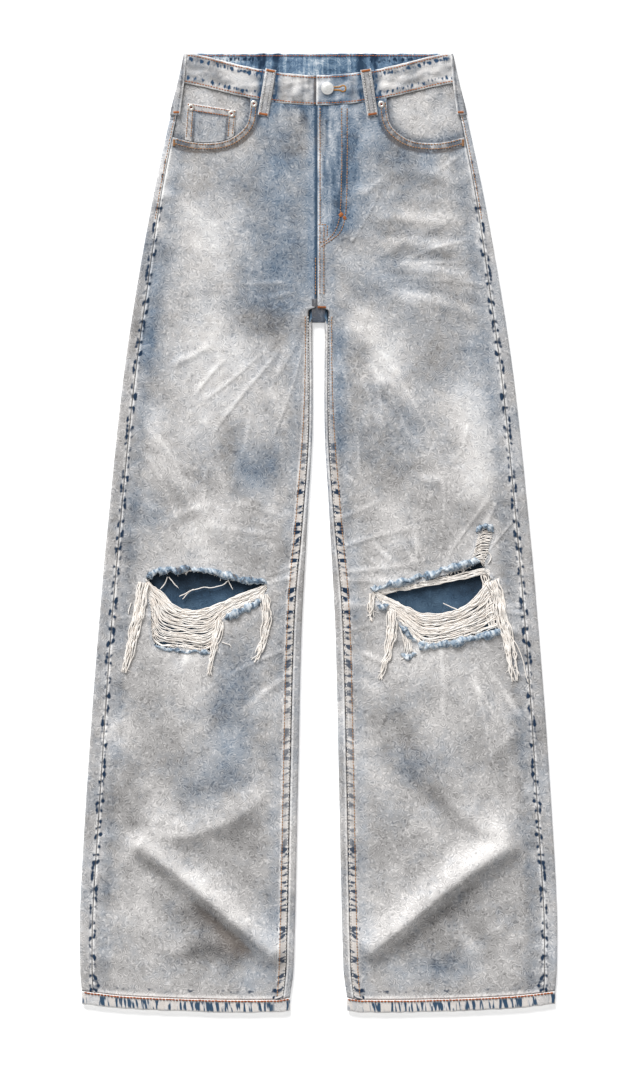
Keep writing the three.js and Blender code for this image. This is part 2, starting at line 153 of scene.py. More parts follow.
def spline(points: Iterable[Sequence[float]], step: float, closed: bool = False) -> Array:
    """Draws a smooth curve through points and marks it off in even steps.

    Args:
        points: the points that the curve passes, in two or three dimensions.
        step: the wanted distance between marks.
        closed: whether the curve returns to its first point.

    Returns:
        The marks, one row each.
    """
    knots = np.array(list(points), float)
    if len(knots) < 3:
        dense = knots
    else:
        if closed:
            ring = np.vstack([knots[-1], knots, knots[0], knots[1]])
        else:
            ring = np.vstack([2 * knots[0] - knots[1], knots, 2 * knots[-1] - knots[-2]])
        t = np.linspace(0, 1, 13)[:-1, None]
        spans = []
        for a, b, c, d in zip(ring, ring[1:], ring[2:], ring[3:]):
            curve = 2 * b + (c - a) * t + (2 * a - 5 * b + 4 * c - d) * t**2
            spans.append(0.5 * (curve + (3 * b - a - 3 * c + d) * t**3))
        dense = np.vstack([*spans, knots[:1] if closed else knots[-1:]])
    return marked_off(dense, step)


def marked_off(line: Array, step: float) -> Array:
    """Marks a polyline off in even steps of about the length given, ends kept."""
    run = np.r_[0, np.cumsum(np.linalg.norm(np.diff(line, axis=0), axis=1))]
    count = max(1, int(round(run[-1] / step)))
    marks = np.linspace(0, run[-1], count + 1)
    return np.stack([np.interp(marks, run, line[:, k]) for k in range(line.shape[1])], axis=1)


def nearest(x: Array, up: Array, line: Array) -> tuple[Array, Array, Array]:
    """Finds how places lie to a polyline.

    Args:
        x: places across.
        up: places along the garment.
        line: the polyline's points.

    Returns:
        For each place its distance from the line, signed plus on the line's left, the run along the
        line to the nearest point, and the whole run's share there.
    """
    best = np.full(x.shape, np.inf)
    side = np.ones(x.shape)
    along = np.zeros(x.shape)
    run = 0.0
    for (ax, ay), (bx, by) in zip(line, line[1:]):
        dx, dy = bx - ax, by - ay
        length = math.hypot(dx, dy)
        if length < 1e-9:
            continue
        share = np.clip(((x - ax) * dx + (up - ay) * dy) / length**2, 0, 1)
        gap = np.hypot(x - ax - share * dx, up - ay - share * dy)
        closer = gap < best
        best = np.where(closer, gap, best)
        side = np.where(closer, np.sign(dx * (up - ay) - dy * (x - ax)), side)
        along = np.where(closer, run + share * length, along)
        run += length
    return best * np.where(side == 0, 1, side), along, along / max(run, 1e-9)


def inside(x: Array, up: Array, outline: Array) -> Array:
    """Tells which places lie inside a closed outline."""
    result = np.zeros(x.shape, bool)
    for (ax, ay), (bx, by) in zip(outline, np.roll(outline, -1, axis=0)):
        crosses = (ay > up) != (by > up)
        reach = (bx - ax) * (up - ay) / ((by - ay) or 1e-12) + ax
        result ^= crosses & (x < reach)
    return result


def nearest_point(x: Array, up: Array, outline: Array) -> tuple[Array, Array]:
    """Finds the nearest point of a closed outline to each place."""
    best = np.full(x.shape, np.inf)
    found_x, found_up = x.copy(), up.copy()
    for (ax, ay), (bx, by) in zip(outline, np.roll(outline, -1, axis=0)):
        dx, dy = bx - ax, by - ay
        share = np.clip(((x - ax) * dx + (up - ay) * dy) / max(dx * dx + dy * dy, 1e-12), 0, 1)
        px, py = ax + share * dx, ay + share * dy
        gap = np.hypot(x - px, up - py)
        closer = gap < best
        best = np.where(closer, gap, best)
        found_x, found_up = np.where(closer, px, found_x), np.where(closer, py, found_up)
    return found_x, found_up


def soft_noise(x: Array, up: Array, cell: float, seed: int) -> Array:
    """Smooth random heights.

    Args:
        x: places across.
        up: places along the garment.
        cell: size of one swell.
        seed: which pattern to draw.

    Returns:
        Heights from -1 to 1.
    """
    size = NOISE_LATTICE
    lattice = np.random.default_rng(seed).uniform(-1, 1, (size, size))
    u, v = np.asarray(x, float) / cell, np.asarray(up, float) / cell
    i, j = np.floor(u).astype(int), np.floor(v).astype(int)
    a, b = ease(0, 1, u - i), ease(0, 1, v - j)
    rows = []
    for step in (0, 1):
        low = lattice[i % size, (j + step) % size]
        high = lattice[(i + 1) % size, (j + step) % size]
        rows.append(mix(low, high, a))
    return mix(rows[0], rows[1], b)


# ---- strokes: folds, fades and tints laid on the cloth -------------------------------------------
@dataclass(frozen=True)
class Stroke:
    """A soft mark along a line, such as a fold, a bleach streak, a blue tint, or painted shade or highlight.

    Attributes:
        path: points of the line; one point makes a round patch.
        amount: what it adds at its crest.
        near: half-width on the line's left.
        far: half-width on its right; 0 means the same as near.
        fade: share of the line at each end over which it dies out.
    """

    path: tuple[Point, ...]
    amount: float
    near: float
    far: float = 0.0
    fade: float = 0.25

    def over(self, x: Array, up: Array) -> Array:
        """What the stroke adds at each place."""
        far = self.far or self.near
        reach = 3.0 * max(self.near, far)
        knots = np.array(self.path, float)
        low, high = knots.min(axis=0) - reach, knots.max(axis=0) + reach
        close = (x > low[0]) & (x < high[0]) & (up > low[1]) & (up < high[1])
        result = np.zeros(np.shape(x))
        if not close.any():
            return result
        if len(self.path) == 1:
            gap = np.hypot(x[close] - knots[0, 0], up[close] - knots[0, 1])
            result[close] = self.amount * bell(gap, self.near)
            return result
        gap, _, share = nearest(x[close], up[close], spline(self.path, 9.0))
        width = np.where(gap > 0, self.near, far)
        ends = 1.0
        if self.fade:
            ends = ease(0, self.fade, share) * ease(1, 1 - self.fade, share)
        result[close] = self.amount * ends * bell(gap, width)
        return result


def laid(strokes: Sequence[Stroke], x: Array, up: Array) -> Array:
    """Adds up strokes at each place."""
    total = np.zeros(np.shape(x))
    for stroke in strokes:
        total = total + stroke.over(x, up)
    return total


FOLDS = (
    # right leg: the long folds above the hem and the bag below the knee
    Stroke(((-232, 213), (-202, 194), (-172, 171), (-142, 147), (-100, 111), (-58, 76), (-40, 54)),
           12.5, 21, 12, 0.1),
    Stroke(((-237, 387), (-239, 339), (-233, 279), (-217, 237), (-181, 214), (-130, 223),
            (-82, 248), (-44, 283)), 6.6, 22, 12, 0.22),
    Stroke(((-190, 63), (-154, 80), (-118, 81), (-88, 49)), 3.0, 14, 12, 0.3),
    Stroke(((-262, 135), (-250, 93), (-248, 45)), 2.4, 12, 12, 0.3),
    Stroke(((-190, 261), (-148, 259), (-112, 279), (-88, 309)), -1.6, 14, 16, 0.3),
    Stroke(((-196, 181), (-150, 178), (-104, 199), (-62, 226), (-36, 230)), -1.4, 12, 10, 0.25),
    # right leg: above the knee
    Stroke(((-205, 741), (-196, 687), (-178, 645), (-148, 609), (-116, 573), (-94, 548)),
           5.4, 20, 12, 0.22),
    Stroke(((-196, 580), (-154, 601), (-121, 605), (-89, 562), (-70, 529)), 1.7, 6, 7, 0.2),
    Stroke(((-167, 643), (-140, 622), (-120, 603)), 1.2, 5, 6, 0.3),
    Stroke(((-76, 819), (-40, 735), (-22, 669)), 2.8, 12, 14, 0.3),
    Stroke(((-58, 753), (-32, 687), (-24, 651)), 1.8, 8, 8, 0.3),
    Stroke(((-100, 800), (-66, 742), (-52, 690)), 2.0, 12, 10, 0.3),
    Stroke(((-110, 425), (-104, 380), (-92, 330)), 2.4, 12, 16, 0.3),
    # left leg: the long fold above the hem, the bag above it
    Stroke(((46, 63), (86, 93), (122, 123), (158, 153), (200, 183), (244, 208)), 12.5, 21, 12, 0.1),
    Stroke(((104, 333), (112, 305), (128, 283), (152, 255), (182, 231), (218, 218), (250, 214)),
           6.4, 18, 12, 0.2),
    Stroke(((80, 423), (92, 351), (104, 309), (128, 267), (152, 245), (182, 209)), -1.6, 11, 11, 0.3),
    Stroke(((146, 113), (172, 87), (200, 53)), 3.0, 12, 10, 0.3),
    Stroke(((208, 111), (232, 87), (244, 75)), 2.4, 10, 10, 0.3),
    Stroke(((200, 301), (224, 325), (244, 345)), 1.6, 7, 7, 0.3),
    Stroke(((60, 400), (62, 330), (58, 260)), 2.0, 12, 12, 0.3),
    # left leg: thigh and hip
    Stroke(((26, 840), (62, 800), (98, 750), (122, 690)), 3.4, 18, 13, 0.25),
    Stroke(((146, 761), (182, 729), (191, 675), (189, 615), (191, 579)), 4.2, 20, 20, 0.25),
    Stroke(((34, 765), (74, 729), (110, 687), (140, 657)), 1.6, 5, 6, 0.25),
    Stroke(((62, 773), (98, 741), (128, 699)), 1.5, 5, 6, 0.3),
    Stroke(((44, 949), (98, 953), (140, 948), (186, 952)), 2.6, 9, 7, 0.3),
    Stroke(((50, 921), (104, 924), (146, 917), (192, 921)), 2.4, 9, 7, 0.3),
    Stroke(((66, 894), (110, 893), (158, 885), (206, 867)), 2.8, 10, 8, 0.3),
    Stroke(((110, 858), (170, 843), (206, 822)), 2.4, 9, 8, 0.3),
    Stroke(((70, 1010), (134, 1005), (186, 985)), 2.2, 10, 8, 0.3),
    Stroke(((16, 905), (60, 880), (110, 872)), 1.6, 8, 10, 0.3),
    Stroke(((14, 870), (40, 846), (80, 826)), 1.6, 7, 9, 0.3),
)

# How light the cloth is, from -1 (raw blue) to 1 (bleached), by soft patches: real wear and bleach, and along
# the folds painted shade in their troughs and painted highlight on their crests.
WEAR_AND_SHADE = (
    Stroke(((-118, 945),), 0.52, 42),
    Stroke(((-128, 895), (-140, 860)), 0.34, 42, fade=0),
    Stroke(((-128, 800), (-128, 725)), 0.56, 40, fade=0),
    Stroke(((-136, 574),), 0.34, 40),
    Stroke(((-160, 417),), 0.26, 44),
    Stroke(((-196, 700), (-205, 620)), 0.16, 30, fade=0),
    # The next two strokes: lighter along the left thigh's fold crests, bleach with painted highlight.
    Stroke(((26, 850), (64, 815), (98, 752)), 0.42, 24),
    Stroke(((146, 768), (190, 690), (190, 600)), 0.48, 40),
    Stroke(((92, 600),), 0.3, 36),
    Stroke(((170, 411),), 0.28, 40),
    Stroke(((134, 351), (96, 400)), 0.14, 34, fade=0),
    Stroke(((-238, 351),), 0.18, 36),
    Stroke(((130, 1080),), 0.5, 32),
    Stroke(((-136, 1072),), 0.3, 30),
    Stroke(((-200, 150), (-240, 110)), 0.2, 34, fade=0),
    Stroke(((60, 300),), 0.14, 34),
    # The next two strokes: painted highlight on the lit upper sides of the long folds above the hems.
    Stroke(((-205, 205), (-150, 166), (-110, 132), (-60, 88)), 0.2, 20),
    Stroke(((60, 84), (120, 136), (160, 168), (226, 206)), 0.16, 20),
    # The next three strokes: painted highlight on the crests of the creases across the left hip.
    Stroke(((40, 950), (190, 950)), 0.26, 10),
    Stroke(((50, 922), (190, 920)), 0.22, 9),
    Stroke(((98, 893), (205, 867)), 0.16, 11),
    Stroke(((200, 980), (196, 900)), 0.12, 30, fade=0),
    Stroke(((-40, 1000), (-52, 900), (-60, 800)), -0.36, 46, fade=0.1),
    Stroke(((-60, 830),), -0.05, 34),
    Stroke(((-160, 452), (-100, 466), (-40, 440)), 0.05, 22),
    Stroke(((-160, 662), (-90, 655), (-24, 652)), -0.28, 24),
    Stroke(((-204, 610),), -0.3, 26),
    Stroke(((-205, 930), (-216, 800)), -0.2, 22, fade=0),
    Stroke(((-90, 440), (-100, 380), (-110, 330)), -0.32, 26),
    # The next three strokes: painted shade in the right leg's fold troughs and below its long fold.
    Stroke(((-180, 262), (-120, 272), (-88, 305)), -0.3, 24),
    Stroke(((-195, 185), (-140, 182), (-60, 225)), -0.26, 18),
    Stroke(((-215, 160), (-165, 120), (-120, 100), (-70, 50)), -0.4, 20),
    Stroke(((32, 1085), (34, 1000), (30, 915)), -0.34, 20, fade=0.1),
    Stroke(((17, 830), (20, 700), (22, 500)), -0.3, 14, fade=0.1),
    # The next three strokes: painted shade in the troughs around the left leg's folds above the hem.
    Stroke(((90, 350), (110, 290), (160, 235)), -0.3, 22),
    Stroke(((80, 60), (130, 90), (190, 140)), -0.28, 20),
    Stroke(((180, 115), (214, 62)), -0.2, 12),
    Stroke(((60, 690), (110, 640)), -0.2, 26, fade=0),
    Stroke(((-60, 1060), (-40, 1030)), -0.3, 30, fade=0),
    Stroke(((86, 1030), (120, 1010)), -0.22, 26, fade=0),
    # The next four strokes: painted shadow lines under the long folds above the hems.
    Stroke(((-226, 198), (-165, 148), (-110, 98), (-54, 48)), -0.42, 8, fade=0.15),
    Stroke(((-218, 201), (-160, 155), (-104, 106), (-48, 56)), -0.3, 2.4, fade=0.2),
    Stroke(((58, 66), (118, 115), (168, 152), (232, 192)), -0.3, 2.4, fade=0.2),
    Stroke(((60, 44), (120, 96), (170, 136), (238, 184)), -0.2, 8, fade=0.15),
    Stroke(((-236, 330), (-222, 250), (-190, 204)), -0.4, 14),
    # The next stroke: painted shade on the shaded side of the left leg's bag fold.
    Stroke(((90, 400), (120, 300), (176, 226)), -0.3, 14),
    Stroke(((-170, 70), (-120, 78), (-84, 52)), -0.35, 16),
    Stroke(((120, 60), (180, 78)), -0.3, 22),
    Stroke(((-120, 470), (-118, 400), (-122, 320)), -0.2, 12),
    Stroke(((-90, 720), (-130, 660)), -0.3, 20),
    Stroke(((-150, 1010), (-110, 960), (-90, 900)), -0.2, 26),
    # The next stroke: painted shade between the creases on the left thigh.
    Stroke(((60, 760), (110, 700)), -0.3, 12),
    Stroke(((31, 1084), (31, 970)), -0.45, 6, fade=0.1),
    Stroke(((26, 966), (20, 944)), -0.7, 9, fade=0),
    Stroke(((40, 1070), (44, 980)), -0.35, 6),
    Stroke(((-200, 1062), (-186, 1010), (-196, 960)), 0.3, 12),
    Stroke(((-190, 1030), (-150, 1000)), 0.3, 7),
    Stroke(((-196, 1000), (-150, 960), (-120, 940)), 0.3, 8),
    Stroke(((-205, 950), (-170, 920)), 0.3, 8),
    # The next three strokes: painted shade between the creases across the left hip.
    Stroke(((50, 936), (186, 934)), -0.32, 7),
    Stroke(((52, 907), (180, 904)), -0.3, 7),
    Stroke(((110, 878), (203, 845)), -0.3, 9),
    Stroke(((20, 900), (80, 860)), -0.1, 14),
)

# Where the bleach left blue behind, from 0 to 1.
BLUE = (
    Stroke(((-5, 1084), (-5, 860)), 0.7, 6, fade=0),
    Stroke(((31, 1084), (31, 970)), 0.7, 9, fade=0.1),
    Stroke(((26, 966), (20, 944)), 0.9, 12, fade=0),
    Stroke(((16, 1080), (16, 960)), 0.4, 10),
    Stroke(((-40, 1040), (-50, 930), (-58, 830)), 0.55, 50, fade=0.1),
    Stroke(((-110, 655), (-40, 650)), 0.6, 30),
    Stroke(((30, 1090), (32, 1000), (30, 930)), 0.8, 22, fade=0.1),
    Stroke(((60, 890), (110, 868)), 0.4, 26, fade=0),
    Stroke(((90, 1036), (150, 1018)), 0.4, 22),
    Stroke(((17, 830), (20, 660)), 0.45, 14, fade=0.1),
    Stroke(((-96, 420), (-110, 330)), 0.5, 30, fade=0),
    Stroke(((-150, 270), (-90, 300)), 0.4, 30, fade=0),
    Stroke(((110, 300),), 0.3, 44),
    Stroke(((-205, 900), (-214, 780)), 0.35, 20, fade=0),
    Stroke(((-200, 600),), 0.4, 26),
    Stroke(((100, 52), (180, 60)), 0.4, 22, fade=0),
    Stroke(((-80, 40), (-60, 110)), 0.4, 22, fade=0),
    Stroke(((190, 800), (200, 700)), 0.3, 20, fade=0),
    Stroke(((-200, 1085), (-100, 1085)), 0.3, 14, fade=0),
    Stroke(((-70, 1085), (-50, 1050)), 0.6, 22, fade=0),
    Stroke(((70, 1080), (60, 1050)), 0.6, 20, fade=0),
    Stroke(((60, 1000),), 0.3, 34),
    Stroke(((100, 690),), 0.3, 40),
)


# ---- the garment's form --------------------------------------------------------------------------
@dataclass(frozen=True)
class Form:
    """The shape that every piece of the garment shares, in millimetres.

    Attributes:
        wall: thickness of one layer of denim.
        gap: between neighbouring pieces.
        edge: radius of the folded side edges.
        seat_rise: how far the seat lies above the floor, on the back pockets.
        waist_up: height of the waist; band_depth, band_wall and band_proud are the band's depth, its
            thickness and how far it stands out, and band_dip its dip at the front over band_dip_span.
        hem_depth: depth of the turned hems.
        fly_x: the left front's free edge, and lap how far it covers the right one.
        crotch_up: top of the gap between the legs, and fork_up where the fronts meet above it.
        outer, inner: half-widths of the laid legs by height.
        outseam_inset, inseam_inset: how far the seams lie in from those edges.
        hem_rise: how the hem climbs towards its outer corner.
        fans: centre, reach and pattern of each fan of fine creases.
    """

    wall: float = 1.2
    gap: float = 0.3
    edge: float = 3.0
    seat_rise: float = 1.5
    waist_up: float = 1150.0
    band_depth: float = 36.0
    band_wall: float = 2.4
    band_proud: float = 1.0
    band_dip: float = 26.0
    band_dip_span: float = 160.0
    hem_depth: float = 15.6
    fly_x: float = -1.2
    lap: float = 8.0
    crotch_up: float = 827.0
    fork_up: float = 847.0
    outer: Line = field(default_factory=lambda: smooth_line(
        ((0, 284), (60, 286), (121, 286), (236, 280), (409, 268), (581, 253), (754, 235),
         (869, 218), (985, 197), (1071, 178.5), (1114, 167.8), (1150, 160))))
    inner: Line = field(default_factory=lambda: smooth_line(
        ((0, 34), (60, 29.4), (293, 24), (466, 19.8), (610, 12), (697, 7.2), (835, 7.2))))
    outseam_inset: Line = field(default_factory=lambda: smooth_line(
        ((0, 14), (230, 16.8), (480, 15.6), (740, 14.4), (860, 13.2), (975, 9.6), (1114, 7.2))))
    inseam_inset: Line = field(default_factory=lambda: smooth_line(
        ((0, 9), (300, 9.6), (500, 9), (580, 6.2), (660, 4.6), (835, 4.5))))
    hem_rise: Line = field(default_factory=lambda: smooth_line(
        ((0, 3), (0.06, 0.6), (0.4, 1), (0.8, 5.4), (1, 11))))
    fans: tuple[tuple[Point, float, int], ...] = (
        ((4, 870), 330, 71), ((-135, 480), 330, 73), ((135, 480), 330, 75))

    @property
    def band_low_level(self) -> float:
        """Height of the band's lower edge at the sides and back."""
        return self.waist_up - self.band_depth

    def seat_lift(self, up: Array) -> Array:
        """How far the seat rides on the back pockets."""
        return self.seat_rise * ease(780, 868, up)

    def band_low(self, x: Array) -> Array:
        """Height of the band's lower edge across the front."""
        round_off = np.maximum(0, 1 - (np.asarray(x) / self.band_dip_span) ** 2) ** 1.35
        return self.band_low_level - self.band_dip * round_off

    def lap_rise(self, x: Array) -> Array:
        """How far the band's free end climbs over the button stand."""
        return np.where(np.asarray(x) < 0, 0, 0.8 * (1 - ease(50, 80, x)))

    def outseam(self, up: Array) -> Array:
        """Half-width at the outseam."""
        return self.outer(up) - self.outseam_inset(up)

    def inseam(self, up: Array) -> Array:
        """Half-width of the slot plus the back's strip, at the inseam."""
        return self.inner(up) + self.inseam_inset(up)

    def front_start(self, side: int, level: Array) -> Array:
        """Inner edge of a front, counted outwards from the middle.

        Args:
            side: -1 for the right leg, 1 for the left one.
            level: heights along the garment.

        Returns:
            The edge's distance from the middle, on that leg's side.
        """
        above = ease(self.fork_up - 5, self.fork_up, level)
        if side > 0:
            return mix(self.inseam(level), self.fly_x, above)
        tucked = mix(-(self.fly_x - self.gap), -(self.fly_x + self.lap), ease(862, 884, level))
        return mix(self.inseam(level), tucked, above)

    def creases(self, x: Array, up: Array) -> Array:
        """Fine creases that fan out from the crotch and the knees, from 0 to 1."""
        total = np.zeros(np.shape(x))
        for centre, reach, seed in self.fans:
            across, along = np.asarray(x) - centre[0], np.asarray(up) - centre[1]
            gap = np.hypot(across, along) + 1.0
            side_on, end_on = 78 * across / gap, 78 * along / gap
            line = soft_noise(side_on + 0.045 * gap, end_on + 0.07 * gap, 10.5, seed)
            patch = ease(-0.25, 0.5, soft_noise(across, along, 52, seed + 1))
            near = ease(20, 60, gap) * ease(reach, 0.55 * reach, gap)
            total = total + np.clip(1 - np.abs(line) / 0.15, 0, 1) * patch * near
        return np.clip(total, 0, 1)

    def relief(self, x: Array, up: Array) -> Array:
        """Height of the folds of the upper layer."""
        margin = np.minimum(self.outer(up) - np.abs(x), np.abs(x) - self.inner(up))
        margin = np.where(up > self.crotch_up, self.outer(up) - np.abs(x), margin)
        rumple = 0.9 * soft_noise(x, up, 34, 3) + 0.5 * soft_noise(x, up, 15, 5)
        rumple += 0.28 * soft_noise(x + 0.5 * up, up, 7, 9)
        fine = (rumple + 2.0 * self.creases(x, up)) * ease(0, 120, self.band_low_level - up)
        folds = 1.15 * laid(FOLDS, x, up) + fine
        return ease(self.edge, self.edge + 16, margin) * ease(22, 75, up) * folds

    def top(self, x: Array, up: Array) -> Array:
        """Height of the upper layer's skin."""
        return self.seat_lift(up) + 2 * self.edge + self.relief(x, up)

    def hem_share(self, x: Array) -> Array:
        """Place across a leg at the hem, from its inner edge to its outer edge."""
        return np.clip((np.abs(x) - self.inner(0)) / (self.outer(0) - self.inner(0)), 0, 1)

    def up_at(self, level: Array, x: Array, dips: bool = True) -> Array:
        """Turns an even level into a height that follows the hem and the band.

        Args:
            level: 0 at the hem's seam to the band's lower edge at the sides.
            x: places across.
            dips: whether the top follows the band's dip at the front.

        Returns:
            The heights.
        """
        hem_top = self.hem_rise(self.hem_share(x)) + self.hem_depth + self.gap
        low = hem_top + (48 - hem_top) * level / 48
        up = np.where(level < 48, low, level)
        if dips:
            up = up - ease(980, self.band_low_level, level) * (self.band_low_level - self.band_low(x))
        return up - self.gap * ease(1100, self.band_low_level, level)


# ---- skins ---------------------------------------------------------------------------------------
class Keep(Enum):
    """Which part of a skin an outline leaves."""

    OUTSIDE = "outside"
    INSIDE = "inside"


@dataclass
class Skin:
    """One surface of cloth on its way to becoming a piece.

    Attributes:
        points: corner points in millimetres, one row each.
        faces: four corners for each face, turning left as seen from outside.
        marks: named values for the finish, one for each point.
    """

    points: Array
    faces: Array
    marks: dict[str, Array] = field(default_factory=dict)

    @classmethod
    def grid(cls, x: Array, up: Array, z: Array, flip: bool = False, closed: bool = False) -> "Skin":
        """Makes a skin from a grid of points.

        Args:
            x: places across, as rows and columns.
            up: places along the garment.
            z: heights.
            flip: whether the outside is the other side of the grid.
            closed: whether the last column joins the first.

        Returns:
            The skin.
        """
        rows, columns = x.shape
        index = np.arange(rows * columns).reshape(rows, columns)
        if closed:
            index = np.hstack([index, index[:, :1]])
        faces = np.stack([index[:-1, :-1], index[:-1, 1:], index[1:, 1:], index[1:, :-1]], axis=-1)
        faces = faces.reshape(-1, 4)
        points = np.stack([x, up, z], axis=-1).reshape(-1, 3).astype(float)
        return cls(points, faces[:, ::-1] if flip else faces)

    def trim(self, outline: Array, keep: Keep) -> "Skin":
        """Cuts the skin along an outline, and pulls the cut edge onto it."""
        within = inside(self.points[:, 0], self.points[:, 1], outline)
        cut = within if keep is Keep.OUTSIDE else ~within
        self.faces = self.faces[~cut[self.faces].all(axis=1)]
        border = np.unique(self.faces[cut[self.faces]])
        x, up = nearest_point(self.points[border, 0], self.points[border, 1], outline)
        self.points[border, 0] = x
        self.points[border, 1] = up
        return self

    def set_heights(self, height: Callable[[Array, Array], Array]) -> "Skin":
        """Lays the skin on a height function."""
        self.points[:, 2] = height(self.points[:, 0], self.points[:, 1])
        return self

    def compact(self) -> "Skin":
        """Drops the points that no face uses."""
        used = np.unique(self.faces)
        renumber = np.full(len(self.points), -1)
        renumber[used] = np.arange(len(used))
        self.faces = renumber[self.faces]
        self.points = self.points[used]
        self.marks = {name: values[used] for name, values in self.marks.items()}
        return self

    def normals(self) -> Array:
        """Outward directions at the points."""
        a, b, c, d = (self.points[self.faces[:, k]] for k in range(4))
        across = np.cross(c - a, d - b)
        total = np.zeros_like(self.points)
        for k in range(4):
            np.add.at(total, self.faces[:, k], across)
        return unit(total)

    def rim(self) -> Array:
        """The free edges, each as its two corners in the faces' order."""
        edges = np.vstack([self.faces[:, [k, (k + 1) % 4]] for k in range(4)])
        size = len(self.points)
        there = edges[:, 0].astype(np.int64) * size + edges[:, 1]
        back = edges[:, 1].astype(np.int64) * size + edges[:, 0]
        return edges[~np.isin(back, there)]


@dataclass(frozen=True)
class Laying:
    """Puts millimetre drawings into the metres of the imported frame."""

    middle: float
    waist_y: float
    floor: float
    waist_up: float

    @classmethod
    def on_frame(cls, form: Form) -> "Laying":
        """Finds the garment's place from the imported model's box."""
        low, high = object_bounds()
        return cls((low.x + high.x) / 2, high.y, low.z, form.waist_up)

    def place(self, points: Array) -> Array:
        """Turns garment points into frame points."""
        shifted = np.asarray(points, float) - (0, self.waist_up, 0)
        return shifted * MM + (self.middle, self.waist_y, self.floor)


def new_object(name: str, points: Array, faces: Array, finishes: Sequence[bpy.types.Material],
               of_face: Array, marks: dict[str, Array]) -> bpy.types.Object:
    """Makes a mesh object.

    Args:
        name: the piece's name.
        points: corner points in metres.
        faces: rows of three or four corners.
        finishes: the piece's materials.
        of_face: which of them each face takes.
        marks: named values for each point.

    Returns:
        The object, linked into the scene.
    """
    mesh = bpy.data.meshes.new(name)
    sides = faces.shape[1]
    mesh.vertices.add(len(points))
    mesh.vertices.foreach_set("co", points.astype(np.float32).ravel())
    mesh.loops.add(faces.size)
    mesh.loops.foreach_set("vertex_index", faces.astype(np.int32).ravel())
    mesh.polygons.add(len(faces))
    mesh.polygons.foreach_set("loop_start", np.arange(0, faces.size, sides, dtype=np.int32))
    mesh.polygons.foreach_set("material_index", np.asarray(of_face, np.int32))
    mesh.polygons.foreach_set("use_smooth", np.full(len(faces), True))
    for finish in finishes:
        mesh.materials.append(finish)
    mesh.update(calc_edges=True)
    for mark, values in marks.items():
        layer = mesh.attributes.new(mark, "FLOAT", "POINT")
        layer.data.foreach_set("value", np.asarray(values, np.float32))
    mesh.validate()
    piece = bpy.data.objects.new(name, mesh)
    bpy.context.scene.collection.objects.link(piece)
    return piece


@dataclass
class Workroom:
    """What every sub-assembly needs: the form, the laying and the finishes."""

    form: Form
    laying: Laying
    finishes: dict[str, bpy.types.Material]

    def shell(self, name: str, skin: Skin, wall: float, outside: str, within: str,
              rim: str) -> bpy.types.Object:
        """Makes a piece of cloth of even thickness.

        Args:
            name: the piece's name.
            skin: its outer surface.
            wall: its thickness.
            outside: finish of the outer face.
            within: finish of the inner face.
            rim: finish of the cut edges.

        Returns:
            The piece, riding on the garment.
        """
        skin.compact()
        count = len(skin.points)
        under = skin.points - skin.normals() * wall
        rim_edges = skin.rim()
        first, second = rim_edges[:, 0], rim_edges[:, 1]
        sides = np.stack([second, first, first + count, second + count], axis=1)
        faces = np.vstack([skin.faces, skin.faces[:, ::-1] + count, sides])
        kinds = np.repeat([0, 1, 2], [len(skin.faces), len(skin.faces), len(sides)])
        marks = {mark: np.tile(values, 2) for mark, values in skin.marks.items()}
        points = self.laying.place(np.vstack([skin.points, under]))
        piece = new_object(name, points, faces, [self.finishes[k] for k in (outside, within, rim)],
                           kinds, marks)
        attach(piece, BODY)
        return piece

    def joined(self, name: str, parts: Sequence[tuple[Array, Array]], finish: str,
               marks: dict[str, Array] | None = None) -> bpy.types.Object:
        """Makes one piece from many small meshes.

        Args:
            name: the piece's name.
            parts: points in millimetres and faces of each small mesh.
            finish: the piece's finish.
            marks: named values for each point.

        Returns:
            The piece, riding on the garment.
        """
        starts = np.cumsum([0] + [len(points) for points, _ in parts[:-1]])
        points = np.vstack([points for points, _ in parts])
        faces = np.vstack([faces + start for (_, faces), start in zip(parts, starts)])
        kinds = np.zeros(len(faces), int)
        piece = new_object(name, self.laying.place(points), faces, [self.finishes[finish]], kinds,
                           marks or {})
        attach(piece, BODY)
        return piece


# ---- small round forms ---------------------------------------------------------------------------
def tube(path: Array, radius: Array, sides: int = 5) -> tuple[Array, Array]:
    """Sweeps a round section along a path, closed at both ends.

    Args:
        path: points of the middle line.
        radius: the section's radius at each point, or one for all.
        sides: corners of the section.

    Returns:
        The points and the faces, as quads.
    """
    count = len(path)
    radius = np.broadcast_to(np.asarray(radius, float), (count,))
    run = unit(np.gradient(path, axis=0))
    across = np.cross(run, (0.0, 0.0, 1.0))
    flat = np.linalg.norm(across, axis=1, keepdims=True)
    across = np.where(flat > 1e-3, across / np.maximum(flat, 1e-9), (1.0, 0.0, 0.0))
    lift = np.cross(across, run)
    turn = 2 * np.pi * np.arange(sides) / sides
    ring = (np.cos(turn)[None, :, None] * across[:, None] + np.sin(turn)[None, :, None] * lift[:, None])
    body = (path[:, None] + ring * radius[:, None, None]).reshape(-1, 3)
    points = np.vstack([body, path[:1], path[-1:]])
    here = np.arange(sides)
    there = (here + 1) % sides
    rows = np.arange(count - 1)[:, None] * sides
    quads = np.stack([rows + here, rows + there, rows + there + sides, rows + here + sides], axis=-1)
    head, tail, last = count * sides, count * sides + 1, (count - 1) * sides
    start = np.stack([there, here, np.full(sides, head), np.full(sides, head)], axis=1)
    end = np.stack([here + last, there + last, np.full(sides, tail), np.full(sides, tail)], axis=1)
    return points, np.vstack([quads.reshape(-1, 4), start, end])


def capsule(start: Array, end: Array, radius: float, flat: float = 0.7) -> tuple[Array, Array]:
    """Makes one stitch: a short thread that sinks into the cloth at both ends."""
    share = np.array([0.0, 0.18, 0.5, 0.82, 1.0])
    path = start + (end - start) * share[:, None]
    path[:, 2] += radius * flat * np.array([-1.2, -0.1, 0.25, -0.1, -1.2])
    return tube(path, radius * np.array([0.45, 0.95, 1.0, 0.95, 0.45]), 6)


